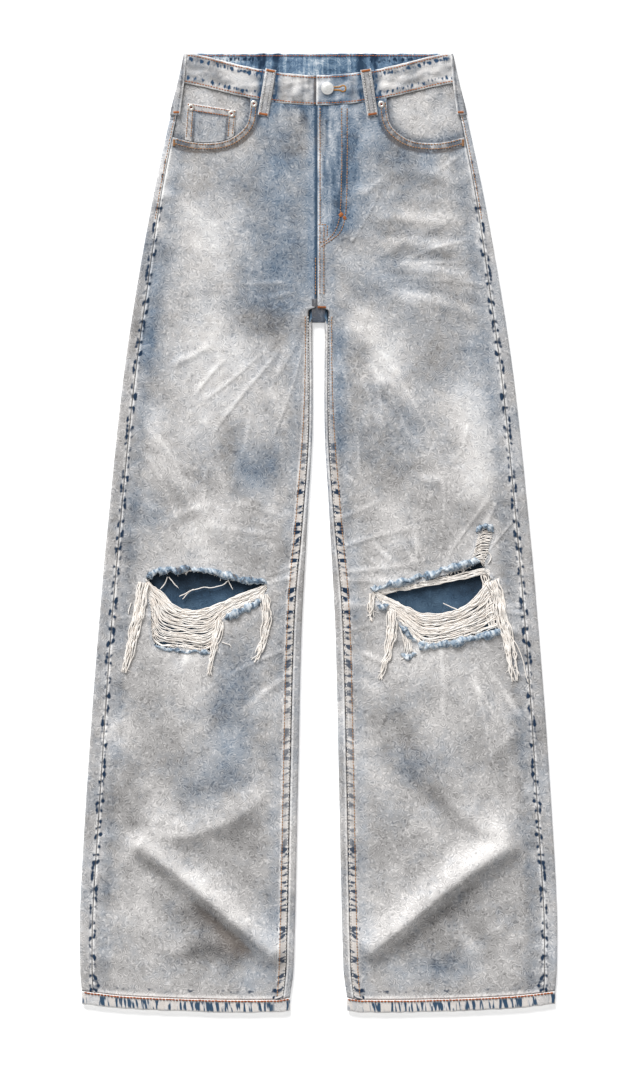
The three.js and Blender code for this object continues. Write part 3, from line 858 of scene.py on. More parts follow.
def lathe(profile: Sequence[Point], centre: Sequence[float], segments: int = 48) -> tuple[Array, Array]:
    """Turns a profile of radius and height about an upright axis.

    Args:
        profile: pairs of radius and height, from the foot to the crown.
        centre: the axis's place and the foot's height.
        segments: steps of one turn.

    Returns:
        The points and the faces.
    """
    radius, height = np.array(profile, float).T
    turn = 2 * np.pi * np.arange(segments) / segments
    points = np.stack([radius[:, None] * np.cos(turn), radius[:, None] * np.sin(turn),
                       np.broadcast_to(height[:, None], (len(radius), segments))], axis=-1)
    here = np.arange(segments)
    there = (here + 1) % segments
    rows = np.arange(len(radius) - 1)[:, None] * segments
    quads = np.stack([rows + here, rows + there, rows + there + segments, rows + here + segments],
                     axis=-1)
    return points.reshape(-1, 3) + np.array(centre, float), quads.reshape(-1, 4)


# ---- sewing --------------------------------------------------------------------------------------
@dataclass
class Thread:
    """One sewing thread and the stitches made with it.

    Attributes:
        name: name of the joined piece.
        finish: the thread's finish.
        pitch: length of one stitch with its gap.
        length: length of the thread that shows.
        radius: half its thickness.
    """

    name: str
    finish: str
    pitch: float = 3.4
    length: float = 2.7
    radius: float = 0.55
    stitches: list[tuple[Array, Array]] = field(default_factory=list)

    def row(self, line: Sequence[Sequence[float]], height: Callable[[Array, Array], Array],
            lift: float = 0.25) -> None:
        """Sews along a line that lies on a height function."""
        marks = spline(line, self.pitch / 2)
        z = height(marks[:, 0], marks[:, 1]) + lift
        self.along(np.column_stack([marks, z]))

    def along(self, marks: Array) -> None:
        """Sews along points that stand half a stitch apart."""
        rng = np.random.default_rng(len(self.stitches) + len(marks))
        for before, after in zip(marks[:-1:2], marks[1::2]):
            middle = (before + after) / 2
            run = (after - before) / max(np.linalg.norm(after - before), 1e-9)
            half = run * self.length / 2 * rng.uniform(0.85, 1.05)
            drift = np.append(rng.normal(0, 0.12, 2), 0)
            self.stitches.append(capsule(middle + drift - half, middle + drift + half, self.radius))

    def bar_tack(self, centre: Point, across: Point, depth: float,
                 height: Callable[[Array, Array], Array], lift: float = 0.5) -> None:
        """Sews a bar tack: close threads side by side.

        Args:
            centre: middle of the bar.
            across: direction and length of the bar.
            depth: length of each of its threads.
            height: the surface that it is sewn on.
            lift: how far it stands on it.
        """
        run = np.array(across, float)
        length = float(np.linalg.norm(run))
        side = np.array([-run[1], run[0]]) / length * depth / 2
        count = max(3, int(length / 0.95))
        for share in (np.arange(count) + 0.5) / count - 0.5:
            middle = np.array(centre) + run * share
            ends = np.array([middle - side, middle + side * 0.9])
            z = height(ends[:, 0], ends[:, 1]) + lift
            self.stitches.append(capsule(np.append(ends[0], z[0]), np.append(ends[1], z[1]), 0.52))

    def sewn(self, room: Workroom, slot: str = "loose_thread") -> bpy.types.Object:
        """Joins the stitches into one piece."""
        piece = room.joined(self.name, self.stitches, self.finish)
        log.info("%s: %d stitches", self.name, len(self.stitches))
        return piece


# ---- finishes ------------------------------------------------------------------------------------
def tint(code: str) -> tuple[float, float, float, float]:
    """Turns a painter's hex colour into the renderer's linear one."""
    parts = [int(code[k:k + 2], 16) / 255 for k in (0, 2, 4)]
    return (*(c / 12.92 if c <= 0.04045 else ((c + 0.055) / 1.055) ** 2.4 for c in parts), 1.0)


class Graph:
    """Adds and links the nodes of one material or node group."""

    def __init__(self, tree: bpy.types.NodeTree) -> None:
        """Starts on an empty tree."""
        self.tree = tree

    def add(self, kind: str, feeds: dict[str | int, object] | None = None,
            **settings: object) -> bpy.types.Node:
        """Adds a node.

        Args:
            kind: the node's type.
            feeds: inputs by name or place, each a socket to link or a value to set.
            settings: the node's own options.

        Returns:
            The node.
        """
        node = self.tree.nodes.new(kind)
        for option, value in settings.items():
            setattr(node, option, value)
        for place, value in (feeds or {}).items():
            self.feed(node.inputs[place], value)
        return node

    def feed(self, socket: Socket, value: object) -> None:
        """Links a socket to an output, or sets its value."""
        if isinstance(value, bpy.types.NodeSocket):
            self.tree.links.new(value, socket)
        else:
            socket.default_value = value

    def math(self, operation: str, a: object, b: object = 0.0, clamp: bool = False) -> Socket:
        """Does a sum with one or two values."""
        node = self.add("ShaderNodeMath", {0: a, 1: b}, operation=operation, use_clamp=clamp)
        return node.outputs[0]

    def noise(self, vector: Socket, scale: object, detail: float = 2.0, rough: float = 0.5) -> Socket:
        """Adds a cloudy pattern from 0 to 1."""
        feeds = {"Vector": vector, "Scale": scale, "Detail": detail, "Roughness": rough}
        return self.add("ShaderNodeTexNoise", feeds).outputs["Fac"]

    def span(self, value: object, low: float, high: float, start: float = 0.0, end: float = 1.0) -> Socket:
        """Maps a range of values softly onto another."""
        feeds = {0: value, 1: low, 2: high, 3: start, 4: end}
        node = self.add("ShaderNodeMapRange", feeds, interpolation_type="SMOOTHSTEP")
        return node.outputs[0]

    def blend(self, share: object, a: object, b: object, way: str = "MIX") -> Socket:
        """Mixes two colours."""
        node = self.add("ShaderNodeMix", data_type="RGBA", blend_type=way, clamp_factor=True)
        self.feed(node.inputs["Factor"], share)
        self.feed(node.inputs[6], a)
        self.feed(node.inputs[7], b)
        return node.outputs[2]

    def ramp(self, value: object, stops: Sequence[tuple[float, str]]) -> Socket:
        """Turns a value into a colour by stops."""
        node = self.add("ShaderNodeValToRGB", {0: value})
        line = node.color_ramp
        while len(line.elements) < len(stops):
            line.elements.new(0.5)
        for element, (place, colour) in zip(line.elements, stops):
            element.position = place
            element.color = tint(colour)
        return node.outputs[0]

    def mark(self, name: str) -> Socket:
        """Reads a value that the cloth carries."""
        return self.add("ShaderNodeAttribute", attribute_name=name).outputs["Fac"]

    def grouped(self, group: bpy.types.NodeTree, feeds: dict[str, object]) -> bpy.types.Node:
        """Places a node group."""
        node = self.add("ShaderNodeGroup", node_tree=group)
        for name, value in feeds.items():
            self.feed(node.inputs[name], value)
        return node


class Effects:
    """The shared effects, each a node group that is built once."""

    def __init__(self) -> None:
        """Builds all the groups."""
        self.grain = self.contour_grain()
        self.cloud = self.bleach_cloud()
        self.weave = self.twill_weave()
        self.seam = self.seam_indigo()
        self.strands = self.thread_strands()

    @staticmethod
    def start(name: str, inputs: Sequence[tuple[str, str, float]],
              outputs: Sequence[str]) -> tuple[Graph, dict[str, Socket], bpy.types.Node]:
        """Starts a node group.

        Args:
            name: the group's name.
            inputs: name, socket type and default of each input.
            outputs: names of its value outputs.

        Returns:
            The graph, the inputs by name, and the output node.
        """
        group = bpy.data.node_groups.new(name, "ShaderNodeTree")
        for label, kind, default in inputs:
            socket = group.interface.new_socket(label, in_out="INPUT", socket_type=kind)
            if kind == "NodeSocketFloat":
                socket.default_value = default
        for label in outputs:
            group.interface.new_socket(label, in_out="OUTPUT", socket_type="NodeSocketFloat")
        graph = Graph(group)
        source = graph.add("NodeGroupInput")
        sink = graph.add("NodeGroupOutput")
        return graph, {label: source.outputs[label] for label, _, _ in inputs}, sink

    def contour_grain(self) -> bpy.types.NodeTree:
        """Short curling strokes of worn nap, as contour lines of a cloudy pattern."""
        graph, source, sink = self.start("Nap strokes", (
            ("Vector", "NodeSocketVector", 0), ("Whorl", "NodeSocketFloat", 90),
            ("Lines", "NodeSocketFloat", 34)), ("Strokes",))
        hill = graph.noise(source["Vector"], source["Whorl"], 1.6, 0.45)
        wave = graph.math("SINE", graph.math("MULTIPLY", hill, source["Lines"]))
        wave = graph.math("MULTIPLY", wave, graph.math("ABSOLUTE", wave))
        finer = graph.math("MULTIPLY", source["Whorl"], 3.1)
        broken = graph.span(graph.noise(source["Vector"], finer, 1.0), 0.42, 0.6)
        graph.feed(sink.inputs["Strokes"], graph.math("MULTIPLY", wave, broken))
        return graph.tree

    def bleach_cloud(self) -> bpy.types.NodeTree:
        """Uneven bleaching, as clouds of two sizes."""
        graph, source, sink = self.start("Bleach clouds", (
            ("Vector", "NodeSocketVector", 0), ("Size", "NodeSocketFloat", 18)), ("Cloud",))
        large = graph.noise(source["Vector"], source["Size"], 3.0, 0.55)
        small = graph.noise(source["Vector"], graph.math("MULTIPLY", source["Size"], 4.3), 3.0, 0.6)
        both = graph.math("ADD", graph.math("MULTIPLY", large, 2.4), graph.math("MULTIPLY", small, 1.6))
        graph.feed(sink.inputs["Cloud"], graph.math("SUBTRACT", both, 2.0))
        return graph.tree

    def twill_weave(self) -> bpy.types.NodeTree:
        """The diagonal ribs of twill, as a height."""
        graph, source, sink = self.start("Twill weave", (
            ("Vector", "NodeSocketVector", 0), ("Ribs", "NodeSocketFloat", 420)), ("Height",))
        slant = graph.add("ShaderNodeMapping", {"Vector": source["Vector"], "Rotation": (0, 0, 1.1)})
        ribs = graph.add("ShaderNodeTexWave", {"Vector": slant.outputs[0], "Scale": source["Ribs"],
                                               "Distortion": 1.2, "Detail": 1.0}, wave_type="BANDS")
        graph.feed(sink.inputs["Height"], ribs.outputs["Fac"])
        return graph.tree

    def seam_indigo(self) -> bpy.types.NodeTree:
        """Raw blue left where a seam puckers: blots beside it, and blocks along a thick strip."""
        graph, source, sink = self.start("Seam indigo", (
            ("Run", "NodeSocketFloat", 0), ("Gap", "NodeSocketFloat", 0),
            ("Blot", "NodeSocketFloat", 0), ("Block", "NodeSocketFloat", 0),
            ("Blot Step", "NodeSocketFloat", 8.0), ("Block Step", "NodeSocketFloat", 5.5)),
            ("Indigo", "Cream"))
        lean = graph.math("ADD", source["Run"], graph.math("MULTIPLY", source["Gap"], 0.25))
        spot = graph.add("ShaderNodeCombineXYZ", {
            0: graph.math("DIVIDE", source["Run"], source["Blot Step"]),
            1: graph.math("MULTIPLY", source["Gap"], 0.11)})
        bar = graph.add("ShaderNodeCombineXYZ", {
            0: graph.math("DIVIDE", lean, source["Block Step"]),
            1: graph.math("MULTIPLY", source["Gap"], 0.07)})
        spots = graph.noise(spot.outputs[0], 1.0, 1.0, 0.5)
        bars = graph.noise(bar.outputs[0], 1.0, 1.0, 0.5)
        blots = graph.span(graph.math("MULTIPLY", spots, source["Blot"]), 0.49, 0.72)
        dark = graph.math("MULTIPLY", graph.span(bars, 0.49, 0.58), source["Block"])
        pale = graph.math("MULTIPLY", graph.span(bars, 0.52, 0.42), source["Block"])
        graph.feed(sink.inputs["Indigo"], graph.math("MAXIMUM", blots, dark, clamp=True))
        graph.feed(sink.inputs["Cream"], graph.math("MULTIPLY", pale, 0.8, clamp=True))
        return graph.tree

    def thread_strands(self) -> bpy.types.NodeTree:
        """Streaks and fuzz of spun cotton."""
        graph, source, sink = self.start("Spun strands", (
            ("Vector", "NodeSocketVector", 0), ("Fineness", "NodeSocketFloat", 700)), ("Streak",))
        fine = graph.noise(source["Vector"], source["Fineness"], 2.0, 0.6)
        broad = graph.noise(source["Vector"], graph.math("MULTIPLY", source["Fineness"], 0.12), 2.0)
        streak = graph.math("ADD", graph.math("MULTIPLY", fine, 0.5), graph.math("MULTIPLY", broad, 0.5))
        graph.feed(sink.inputs["Streak"], streak)
        return graph.tree


@dataclass(frozen=True)
class Denim:
    """A washed denim finish.

    Attributes:
        name: the finish's name.
        worn: colours from raw to bleached where the cloth has gone grey; its dark end also gives the painted
            shade and its light end the painted highlight.
        blue: the same where the blue stayed.
        indigo: colour of the raw blots and blocks along the seams.
        trough: colour of the shade in the folds' troughs.
        wear: how much lighter or darker this face is than what the cloth carries.
        blueness: how blue it is beyond what the cloth carries.
        nap: strength of the nap strokes.
        streaks: strength of pale streaks across the band.
    """

    name: str
    worn: tuple[str, ...] = ("59595b", "8c8a89", "b3b1b0", "dad7d5", "f7f5f2")
    blue: tuple[str, ...] = ("3a5067", "6b7d91", "9aa5b2", "c5cad1", "e4e7ea")
    indigo: str = "19314a"
    trough: str = "7d7167"
    wear: float = -0.04
    blueness: float = 0.0
    nap: float = 0.4
    streaks: float = 0.0

    def make(self, effects: Effects) -> bpy.types.Material:
        """Builds the material."""
        material, graph, shader = new_finish(self.name)
        place = graph.add("ShaderNodeTexCoord").outputs["Object"]
        cloud = graph.grouped(effects.cloud, {"Vector": place, "Size": 17.0}).outputs[0]
        tone = graph.grouped(effects.cloud, {"Vector": place, "Size": 31.0}).outputs[0]
        strokes = graph.grouped(effects.grain, {"Vector": place, "Whorl": 88.0, "Lines": 52.0}).outputs[0]
        short = graph.grouped(effects.grain, {"Vector": place, "Whorl": 190.0, "Lines": 36.0}).outputs[0]
        weave = graph.grouped(effects.weave, {"Vector": place, "Ribs": 330.0}).outputs[0]
        # The wear mark carries real wear and bleach, and also painted shade in fold troughs and under edges,
        # and painted highlight on crests and seam lips.
        wear = graph.math("ADD", graph.mark("wear"), self.wear)
        wear = graph.math("ADD", wear, graph.math("MULTIPLY", cloud, 0.5))
        wear = graph.math("ADD", wear, graph.math("MULTIPLY", strokes, self.nap))
        wear = graph.math("ADD", wear, graph.math("MULTIPLY", short, self.nap * 0.42))
        if self.streaks:
            run = graph.add("ShaderNodeCombineXYZ", {0: graph.math("DIVIDE", graph.mark("run"), 7.0),
                                                     1: graph.math("DIVIDE", graph.mark("gap"), 60.0)})
            streak = graph.span(graph.noise(run.outputs[0], 1.0, 2.0), 0.42, 0.68, -0.5, 1.0)
            wear = graph.math("ADD", wear, graph.math("MULTIPLY", streak, self.streaks))
        level = graph.math("MULTIPLY_ADD", wear, 0.5)
        graph.feed(level.node.inputs[2], 0.5)
        stops = (0.0, 0.25, 0.5, 0.75, 1.0)
        grey = graph.ramp(level, tuple(zip(stops, self.worn)))
        blue = graph.ramp(level, tuple(zip(stops, self.blue)))
        share = graph.math("ADD", graph.mark("blue"), self.blueness)
        share = graph.math("ADD", share, graph.math("MULTIPLY", tone, 0.42), clamp=True)
        colour = graph.blend(share, grey, blue)
        seam = graph.grouped(effects.seam, {"Run": graph.mark("run"), "Gap": graph.mark("gap"),
                                            "Blot": graph.mark("blot"), "Block": graph.mark("block")})
        shade = graph.span(graph.mark("wear"), -0.3, -0.75, 0.0, 0.5)
        warm = graph.math("MULTIPLY", shade, graph.math("SUBTRACT", 1.0, share, clamp=True))
        colour = graph.blend(warm, colour, tint(self.trough))
        colour = graph.blend(seam.outputs["Cream"], colour, tint("ddd5ce"))
        colour = graph.blend(seam.outputs["Indigo"], colour, tint(self.indigo))
        graph.feed(shader.inputs["Base Color"], colour)
        graph.feed(shader.inputs["Roughness"], graph.span(cloud, -1.0, 1.0, 0.95, 0.78))
        shader.inputs["Sheen Weight"].default_value = 0.12
        shader.inputs["Specular IOR Level"].default_value = 0.25
        relief = graph.math("ADD", graph.math("MULTIPLY", weave, 0.35), graph.math("MULTIPLY", strokes, 0.22))
        relief = graph.math("ADD", relief, graph.math("MULTIPLY", short, 0.18))
        bump = graph.add("ShaderNodeBump", {"Strength": 0.6, "Distance": 0.0005, "Height": relief})
        graph.feed(shader.inputs["Normal"], bump.outputs[0])
        return material


@dataclass(frozen=True)
class Cotton:
    """A sewing thread or a loose yarn: two colours, streaked."""

    name: str
    light: str
    dark: str
    fineness: float = 900.0

    def make(self, effects: Effects) -> bpy.types.Material:
        """Builds the material."""
        material, graph, shader = new_finish(self.name)
        place = graph.add("ShaderNodeTexCoord").outputs["Object"]
        streak = graph.grouped(effects.strands, {"Vector": place, "Fineness": self.fineness}).outputs[0]
        colour = graph.ramp(streak, ((0.3, self.dark), (0.62, self.light)))
        graph.feed(shader.inputs["Base Color"], colour)
        graph.feed(shader.inputs["Roughness"], graph.span(streak, 0.3, 0.7, 0.95, 0.75))
        shader.inputs["Sheen Weight"].default_value = 0.2
        bump = graph.add("ShaderNodeBump", {"Strength": 0.35, "Distance": 0.0003, "Height": streak})
        graph.feed(shader.inputs["Normal"], bump.outputs[0])
        return material


@dataclass(frozen=True)
class Metal:
    """A small cast or pressed metal part, tumbled and a little worn."""

    name: str
    light: str
    dark: str
    rough: float

    def make(self, effects: Effects) -> bpy.types.Material:
        """Builds the material."""
        material, graph, shader = new_finish(self.name)
        place = graph.add("ShaderNodeTexCoord").outputs["Object"]
        cloud = graph.grouped(effects.cloud, {"Vector": place, "Size": 160.0}).outputs[0]
        rub = graph.span(cloud, -0.7, 0.7)
        colour = graph.ramp(rub, ((0.0, self.dark), (0.6, self.light)))
        graph.feed(shader.inputs["Base Color"], colour)
        graph.feed(shader.inputs["Roughness"], graph.span(cloud, -0.8, 0.8, self.rough + 0.14, self.rough))
        shader.inputs["Metallic"].default_value = 0.85
        bump = graph.add("ShaderNodeBump", {"Strength": 0.2, "Distance": 0.0002, "Height": cloud})
        graph.feed(shader.inputs["Normal"], bump.outputs[0])
        return material


def new_finish(name: str) -> tuple[bpy.types.Material, Graph, bpy.types.Node]:
    """Starts a material: returns it, its graph and its shader."""
    material = bpy.data.materials.new(name)
    material.use_nodes = True
    tree = material.node_tree
    return material, Graph(tree), tree.nodes["Principled BSDF"]


FINISHES = (
    Denim("denim"),
    Denim("band denim", nap=0.26, blueness=0.05, indigo="2c4a68"),
    Denim("hem denim", nap=0.2, indigo="284863"),
    # Inner denim: the inside's raw blue, its colours darkened by a quarter as painted shade for the hollows
    # seen through the knee holes.
    Denim("inner denim", worn=("1e2c3a", "33475a", "4d6478", "708496", "9fadb9"),
          blue=("1b2c3d", "2f4860", "48637d", "66819a", "93a8ba"), blueness=0.2, nap=0.2, wear=-0.1,
          trough="141f2a"),
    Denim("band inside", worn=("3c556f", "56708b", "7690ab", "a9bac9", "dbe1e7"),
          blue=("2a4159", "435c75", "5f7a94", "8fa3b5", "cdd6de"), blueness=0.2, streaks=0.4, wear=-0.25,
          trough="22384d"),
    Denim("cut edge", worn=("8f9aa8", "b9bfc6", "d8d6d3", "e9e4de", "f3efea"), wear=0.25, nap=0.2),
    Denim("frayed blue", worn=("34485b", "5e7387", "8d9dac", "b9c2ca", "dde1e4"),
          blue=("2c435a", "516b85", "7c92a8", "aab8c5", "d0d8df"), blueness=0.1, wear=0.0),
    Cotton("cream yarn", "fefaf5", "eadfd4"),
    Cotton("white thread", "eceae8", "c4bfb8"),
    Cotton("tan thread", "b98a5e", "8b5f3c"),
    Cotton("orange thread", "bf7437", "8e4a22"),
    Cotton("rust thread", "b4622f", "823d1d"),
    Cotton("golden thread", "cf9434", "9c661c"),
    Cotton("navy thread", "2f4d69", "16293c"),
    Metal("brushed steel", "f4f4f2", "d8d8d6", 0.45),
    Metal("steel cap", "e8e4de", "bdb7ae", 0.36),
    Metal("copper core", "8a4030", "4f221a", 0.42),
)


# ---- outlines of the cut pieces ------------------------------------------------------------------
MOUTH = ((81, 1100), (84.6, 1069), (97, 1053.5), (116, 1044.5), (145, 1043), (174, 1049.5))
MOUTH_CORNER = ((215, 1056), (215, 1160), (81, 1160))
COIN_POCKET = ((-157.5, 1091), (-98.5, 1082), (-103.5, 1030), (-161, 1030))
RIP_RIGHT = ((-206, 521), (-184, 530), (-154, 531.6), (-123, 527.4), (-94, 520), (-63, 514),
             (-68, 498.6), (-94, 483), (-113, 474.6), (-122, 459), (-128, 434), (-164, 437.4),
             (-196, 442), (-201, 483))
RIP_LEFT = ((67, 505), (93, 510), (125, 517), (153, 526), (177, 533.4), (184, 537), (191.4, 564.6),
            (197.4, 580), (207, 580), (204.6, 560), (199, 535), (206, 522), (214, 500), (219, 461),
            (194, 454), (158, 446), (128, 441), (116, 447), (98, 468.6), (80, 486.6))
YOKE_SEAM = smooth_line(((0, 1040), (190, 1072), (230, 1076)))
BACK_POCKET = ((36, 1036), (164, 1022), (152, 906), (92, 878), (42, 912))


def mirrored(outline: Array) -> Array:
    """The same outline on the other leg."""
    return np.asarray(outline, float) * (-1, 1)


def grown(outline: Array, distance: float) -> Array:
    """Moves every corner of a closed outline outwards."""
    points = np.asarray(outline, float)
    after, before = np.roll(points, -1, axis=0), np.roll(points, 1, axis=0)
    area = np.sum(points[:, 0] * after[:, 1] - after[:, 0] * points[:, 1])
    return points + np.sign(area) * distance * right_of(unit(after - before))


def mouth_line(side: int) -> Array:
    """The scooped edge of a front pocket."""
    line = spline(MOUTH, 3.0)
    return line if side > 0 else mirrored(line)


def mouth_outline(side: int) -> Array:
    """The pocket mouth with the corner that it cuts off."""
    outline = np.vstack([spline(MOUTH, 3.0), MOUTH_CORNER])
    return outline if side > 0 else mirrored(outline)


# ---- the fronts ----------------------------------------------------------------------------------
@dataclass
class Fronts:
    """The two front panels, with their pocket facings, the coin pocket and the fork at the crotch.

    Attributes:
        spacing: distance between points on the open cloth.
        near_inseam: columns of points close to the inseam, counted from it.
        near_outseam: the same at the outseam.
        strip: width of the felled inseam, and mouth_strip of the pocket mouths' stitched edge.
        fork_low: where the fork starts, fork_high where it ends, fork_half half its width.
    """

    room: Workroom
    spacing: float = 2.7
    near_inseam: tuple[float, ...] = (0, 0.7, 1.6, 3.2, 4.8, 6.4, 8.2, 9.6, 10.6, 11.6, 13.2)
    near_outseam: tuple[float, ...] = (11, 8.5, 6.2, 4.4, 3.1, 2.2, 1.4, 0.7, 0)
    strip: float = 10.0
    mouth_strip: float = 8.6
    fork_low: float = 827.5
    fork_high: float = 856.0
    fork_half: float = 8.0

    def edges(self, side: int, x: Array, up: Array) -> tuple[Array, Array]:
        """Distances from the panel's inner and outer edges."""
        form = self.room.form
        start = form.front_start(side, up)
        return side * x - start, form.outseam(up) - side * x

    def felled(self, up: Array) -> Array:
        """Width of the inseam's strip, which narrows towards the crotch."""
        return self.strip * mix(0.5, 1.0, ease(812, 640, up))

    def height(self, side: int, x: Array, up: Array) -> Array:
        """Height of a front's skin, seams and all."""
        form = self.room.form
        from_inner, from_outer = self.edges(side, x, up)
        below = ease(form.fork_up, form.crotch_up, up)
        pucker = 0.35 * soft_noise(x * 0.4, up, 7.0, 21) + 0.3 * soft_noise(x, up, 14.0, 22)
        strip = ease(self.felled(up) + 0.9, self.felled(up) - 0.9, from_inner)
        seam = np.where(below > 0.5, strip * (0.9 + pucker), 0)
        ridge = bell(from_outer, 1.5, 2.0) * (0.75 + 0.6 * pucker)
        dimple = 0.8 * soft_noise(x * 0.3, up, 11.0, 23) * bell(from_outer, 7, 8)
        roll = brink(from_inner, 1.8) + brink(from_outer, 1.6)
        gap, _, _ = nearest(side * x, up, spline(MOUTH, 6.0))
        hem_of_mouth = 0.7 * ease(self.mouth_strip + 1, self.mouth_strip - 1, np.abs(gap))
        centre = np.where((up > form.fork_up) & (up < 945) & (side > 0),
                          0.8 * ease(9.0, 7.4, from_inner) * ease(945, 940, up), 0)
        fly = 0.45 * ease(36, 33, side * x) * ease(900, 920, up) * (side > 0)
        drop = np.where(side < 0, (form.wall + form.gap) * ease(-24, -5, x) * (up > form.fork_up), 0)
        return form.top(x, up) + seam + ridge + dimple - 0.9 * roll + hem_of_mouth + centre + fly - drop

    def marks(self, side: int, x: Array, up: Array) -> dict[str, Array]:
        """Wear with painted shade and highlight, blue, and seam marks of a front."""
        form = self.room.form
        from_inner, from_outer = self.edges(side, x, up)
        leg = up < form.fork_up
        folds = laid(FOLDS, x, up)
        on_fly = ease(38, 33, side * x) * ease(935, 955, up) * (side > 0)
        pulls = 0.55 * soft_noise(x, up * 0.16, 3.4, 41) * on_fly
        # The fold heights add painted highlight on the crests and painted shade in the troughs; the fine
        # creases are lightened too.
        wear = laid(WEAR_AND_SHADE, x, up) + pulls + 0.034 * folds + 0.42 * form.creases(x, up)
        # Pale lip beside the outseam: rubbed wear with a painted highlight on it.
        wear = wear + 0.75 * bell(from_outer, 1.3, 1.6)
        wear = wear + 0.4 * bell(from_inner - self.felled(up), 1.2) * ease(822, 790, up)
        # Painted shadow: a dark line along the front's folded inseam edge, where it overhangs the back.
        wear = wear - 1.7 * bell(from_inner, 1.1) * leg
        wear = wear + 0.55 * bell(from_inner, 1.0, 3.0) * ease(826, 800, up)
        # Along the fly: a painted highlight on the left front's rolled edge, and a painted shadow on the
        # right front just beside the lap.
        wear = wear + 0.5 * bell(from_inner, 1.1, 1.2) * ((side > 0) & ~leg)
        wear = wear - 1.5 * ease(-6.5, -2, x) * ((side < 0) & ~leg)
        wear = wear - 0.25 * bell(from_outer, 8, 16)
        blot = 1.2 * bell(from_outer, 4.8, 2.6) * ease(1010, 960, up)
        blot = blot + 0.9 * bell(from_inner - self.felled(up), 2.6, 2.0) * leg * ease(820, 700, up)
        above_hem = up - form.hem_rise(form.hem_share(x)) - form.hem_depth
        blot = blot + 0.95 * bell(above_hem, 6, 9) * (leg & (above_hem < 40))
        wear = wear + 0.75 * bell(above_hem, 2.2, 2.4) * leg
        block = ease(self.felled(up) + 0.4, self.felled(up) - 0.8, from_inner) * leg
        often = 0.6 + 0.5 * ease(330, 520, up) * ease(700, 600, up) + 0.3 * (up < 200)
        block = block * often * ease(800, 640, up)
        run, gap = up.copy(), from_outer.copy()
        gap = np.where(from_inner < 60, from_inner, gap)
        below_band = form.band_low(x) - up
        # Painted shadow: a dark line just below the waistband.
        wear = wear - 0.5 * bell(below_band, 4.5)
        drags = soft_noise(x, up * 0.2, 5.0, 43) * bell(below_band, 34)
        wear = wear + 0.5 * drags * (np.abs(x) < 92)
        blot = blot + 0.8 * bell(below_band, 5) * (np.abs(x) < 90)
        beside_fly = (side > 0) & (up > 905) & (from_inner < 40)
        blot = np.where(beside_fly, blot + 0.85 * bell(from_inner, 7, 24) * ease(1090, 1060, up), blot)
        mouth_gap, mouth_run, _ = nearest(side * x, up, spline(MOUTH, 6.0))
        in_strip = (np.abs(mouth_gap) < self.mouth_strip) & (up > 1000)
        block = np.where(in_strip, 0.3, block)
        wear = wear - 0.4 * in_strip
        run = np.where(in_strip, mouth_run, run)
        gap = np.where(in_strip, mouth_gap, gap)
        wear = wear + 0.6 * bell(mouth_gap, 1.3) * (up > 1000)
        # Painted shadow: a dark line under the pocket mouth's stitched lip.
        under_lip_shadow = bell(np.abs(mouth_gap) - self.mouth_strip, 2.4, 2.0)
        wear = wear - 0.9 * under_lip_shadow * (up > 1000)
        rip = RIP_RIGHT if side < 0 else RIP_LEFT
        near_rip, _, _ = nearest(x, up, spline(rip, 6.0, closed=True))
        wear = wear + 0.25 * bell(near_rip, 12)
        blue = laid(BLUE, x, up) + 0.16 * ease(560, 800, up) + 0.5 * bell(near_rip, 4.0)
        blue = blue + 0.7 * bell(below_band, 12) * (np.abs(x) < 95)
        blue = blue + 0.28 * bell(from_outer, 12, 12) + 0.3 * bell(from_inner, 9, 16)
        marks = {"wear": wear, "blue": np.clip(blue, 0, 1), "run": run, "gap": gap}
        return marks | {"blot": np.clip(blot, 0, 1.25), "block": np.clip(block, 0, 1)}

    def panel(self, side: int) -> Skin:
        """The whole front before it is cut."""
        form = self.room.form
        rows = int(form.band_low_level / self.spacing)
        level = np.linspace(0, form.band_low_level, rows)[:, None]
        start, end = form.front_start(side, level), form.outseam(level)
        inner = start + np.array(self.near_inseam)
        outer = end - np.array(self.near_outseam)
        share = np.linspace(0, 1, int(215 / self.spacing))[1:-1]
        x = side * np.hstack([inner, mix(inner[:, -1:], outer[:, :1], share), outer])
        level = np.broadcast_to(level, x.shape)
        up = form.up_at(level, x)
        return Skin.grid(x, up, np.zeros(x.shape), flip=side < 0)

    def build(self) -> list[bpy.types.Object]:
        """Makes the fronts, facings and coin pocket."""
        pieces = []
        for side, name, rip in ((-1, "right", RIP_RIGHT), (1, "left", RIP_LEFT)):
            skin = self.panel(side).trim(mouth_outline(side), Keep.OUTSIDE)
            skin.trim(spline(rip, 2.2, closed=True), Keep.OUTSIDE).compact()
            self.dress(skin, side)
            front = self.room.shell(f"front_{name}", skin, self.room.form.wall, "denim",
                                    "inner denim", "cut edge")
            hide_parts(f"front_leg_{name}")
            pieces += [front, self.facing(side, name)]
            log.info("front_%s: %d faces", name, len(front.data.polygons))
        pieces += [self.coin_pocket(), self.fork()]
        return pieces

    def fork(self) -> bpy.types.Object:
        """The dark folded corner where the four legs' seams meet at the crotch."""
        form = self.room.form
        x, up = np.meshgrid(np.linspace(-self.fork_half, self.fork_half, 21),
                            np.linspace(self.fork_low, self.fork_high, 28))
        ribs = 0.5 * soft_noise(x, up * 0.3, 3.4, 37) - 0.6 * np.clip(1 - (up - self.fork_low) / 2.5, 0, 1)
        skin = Skin.grid(x, up, form.seat_lift(up) + 2 * form.edge - 1.0 + ribs)
        px, pu = skin.points[:, 0], skin.points[:, 1]
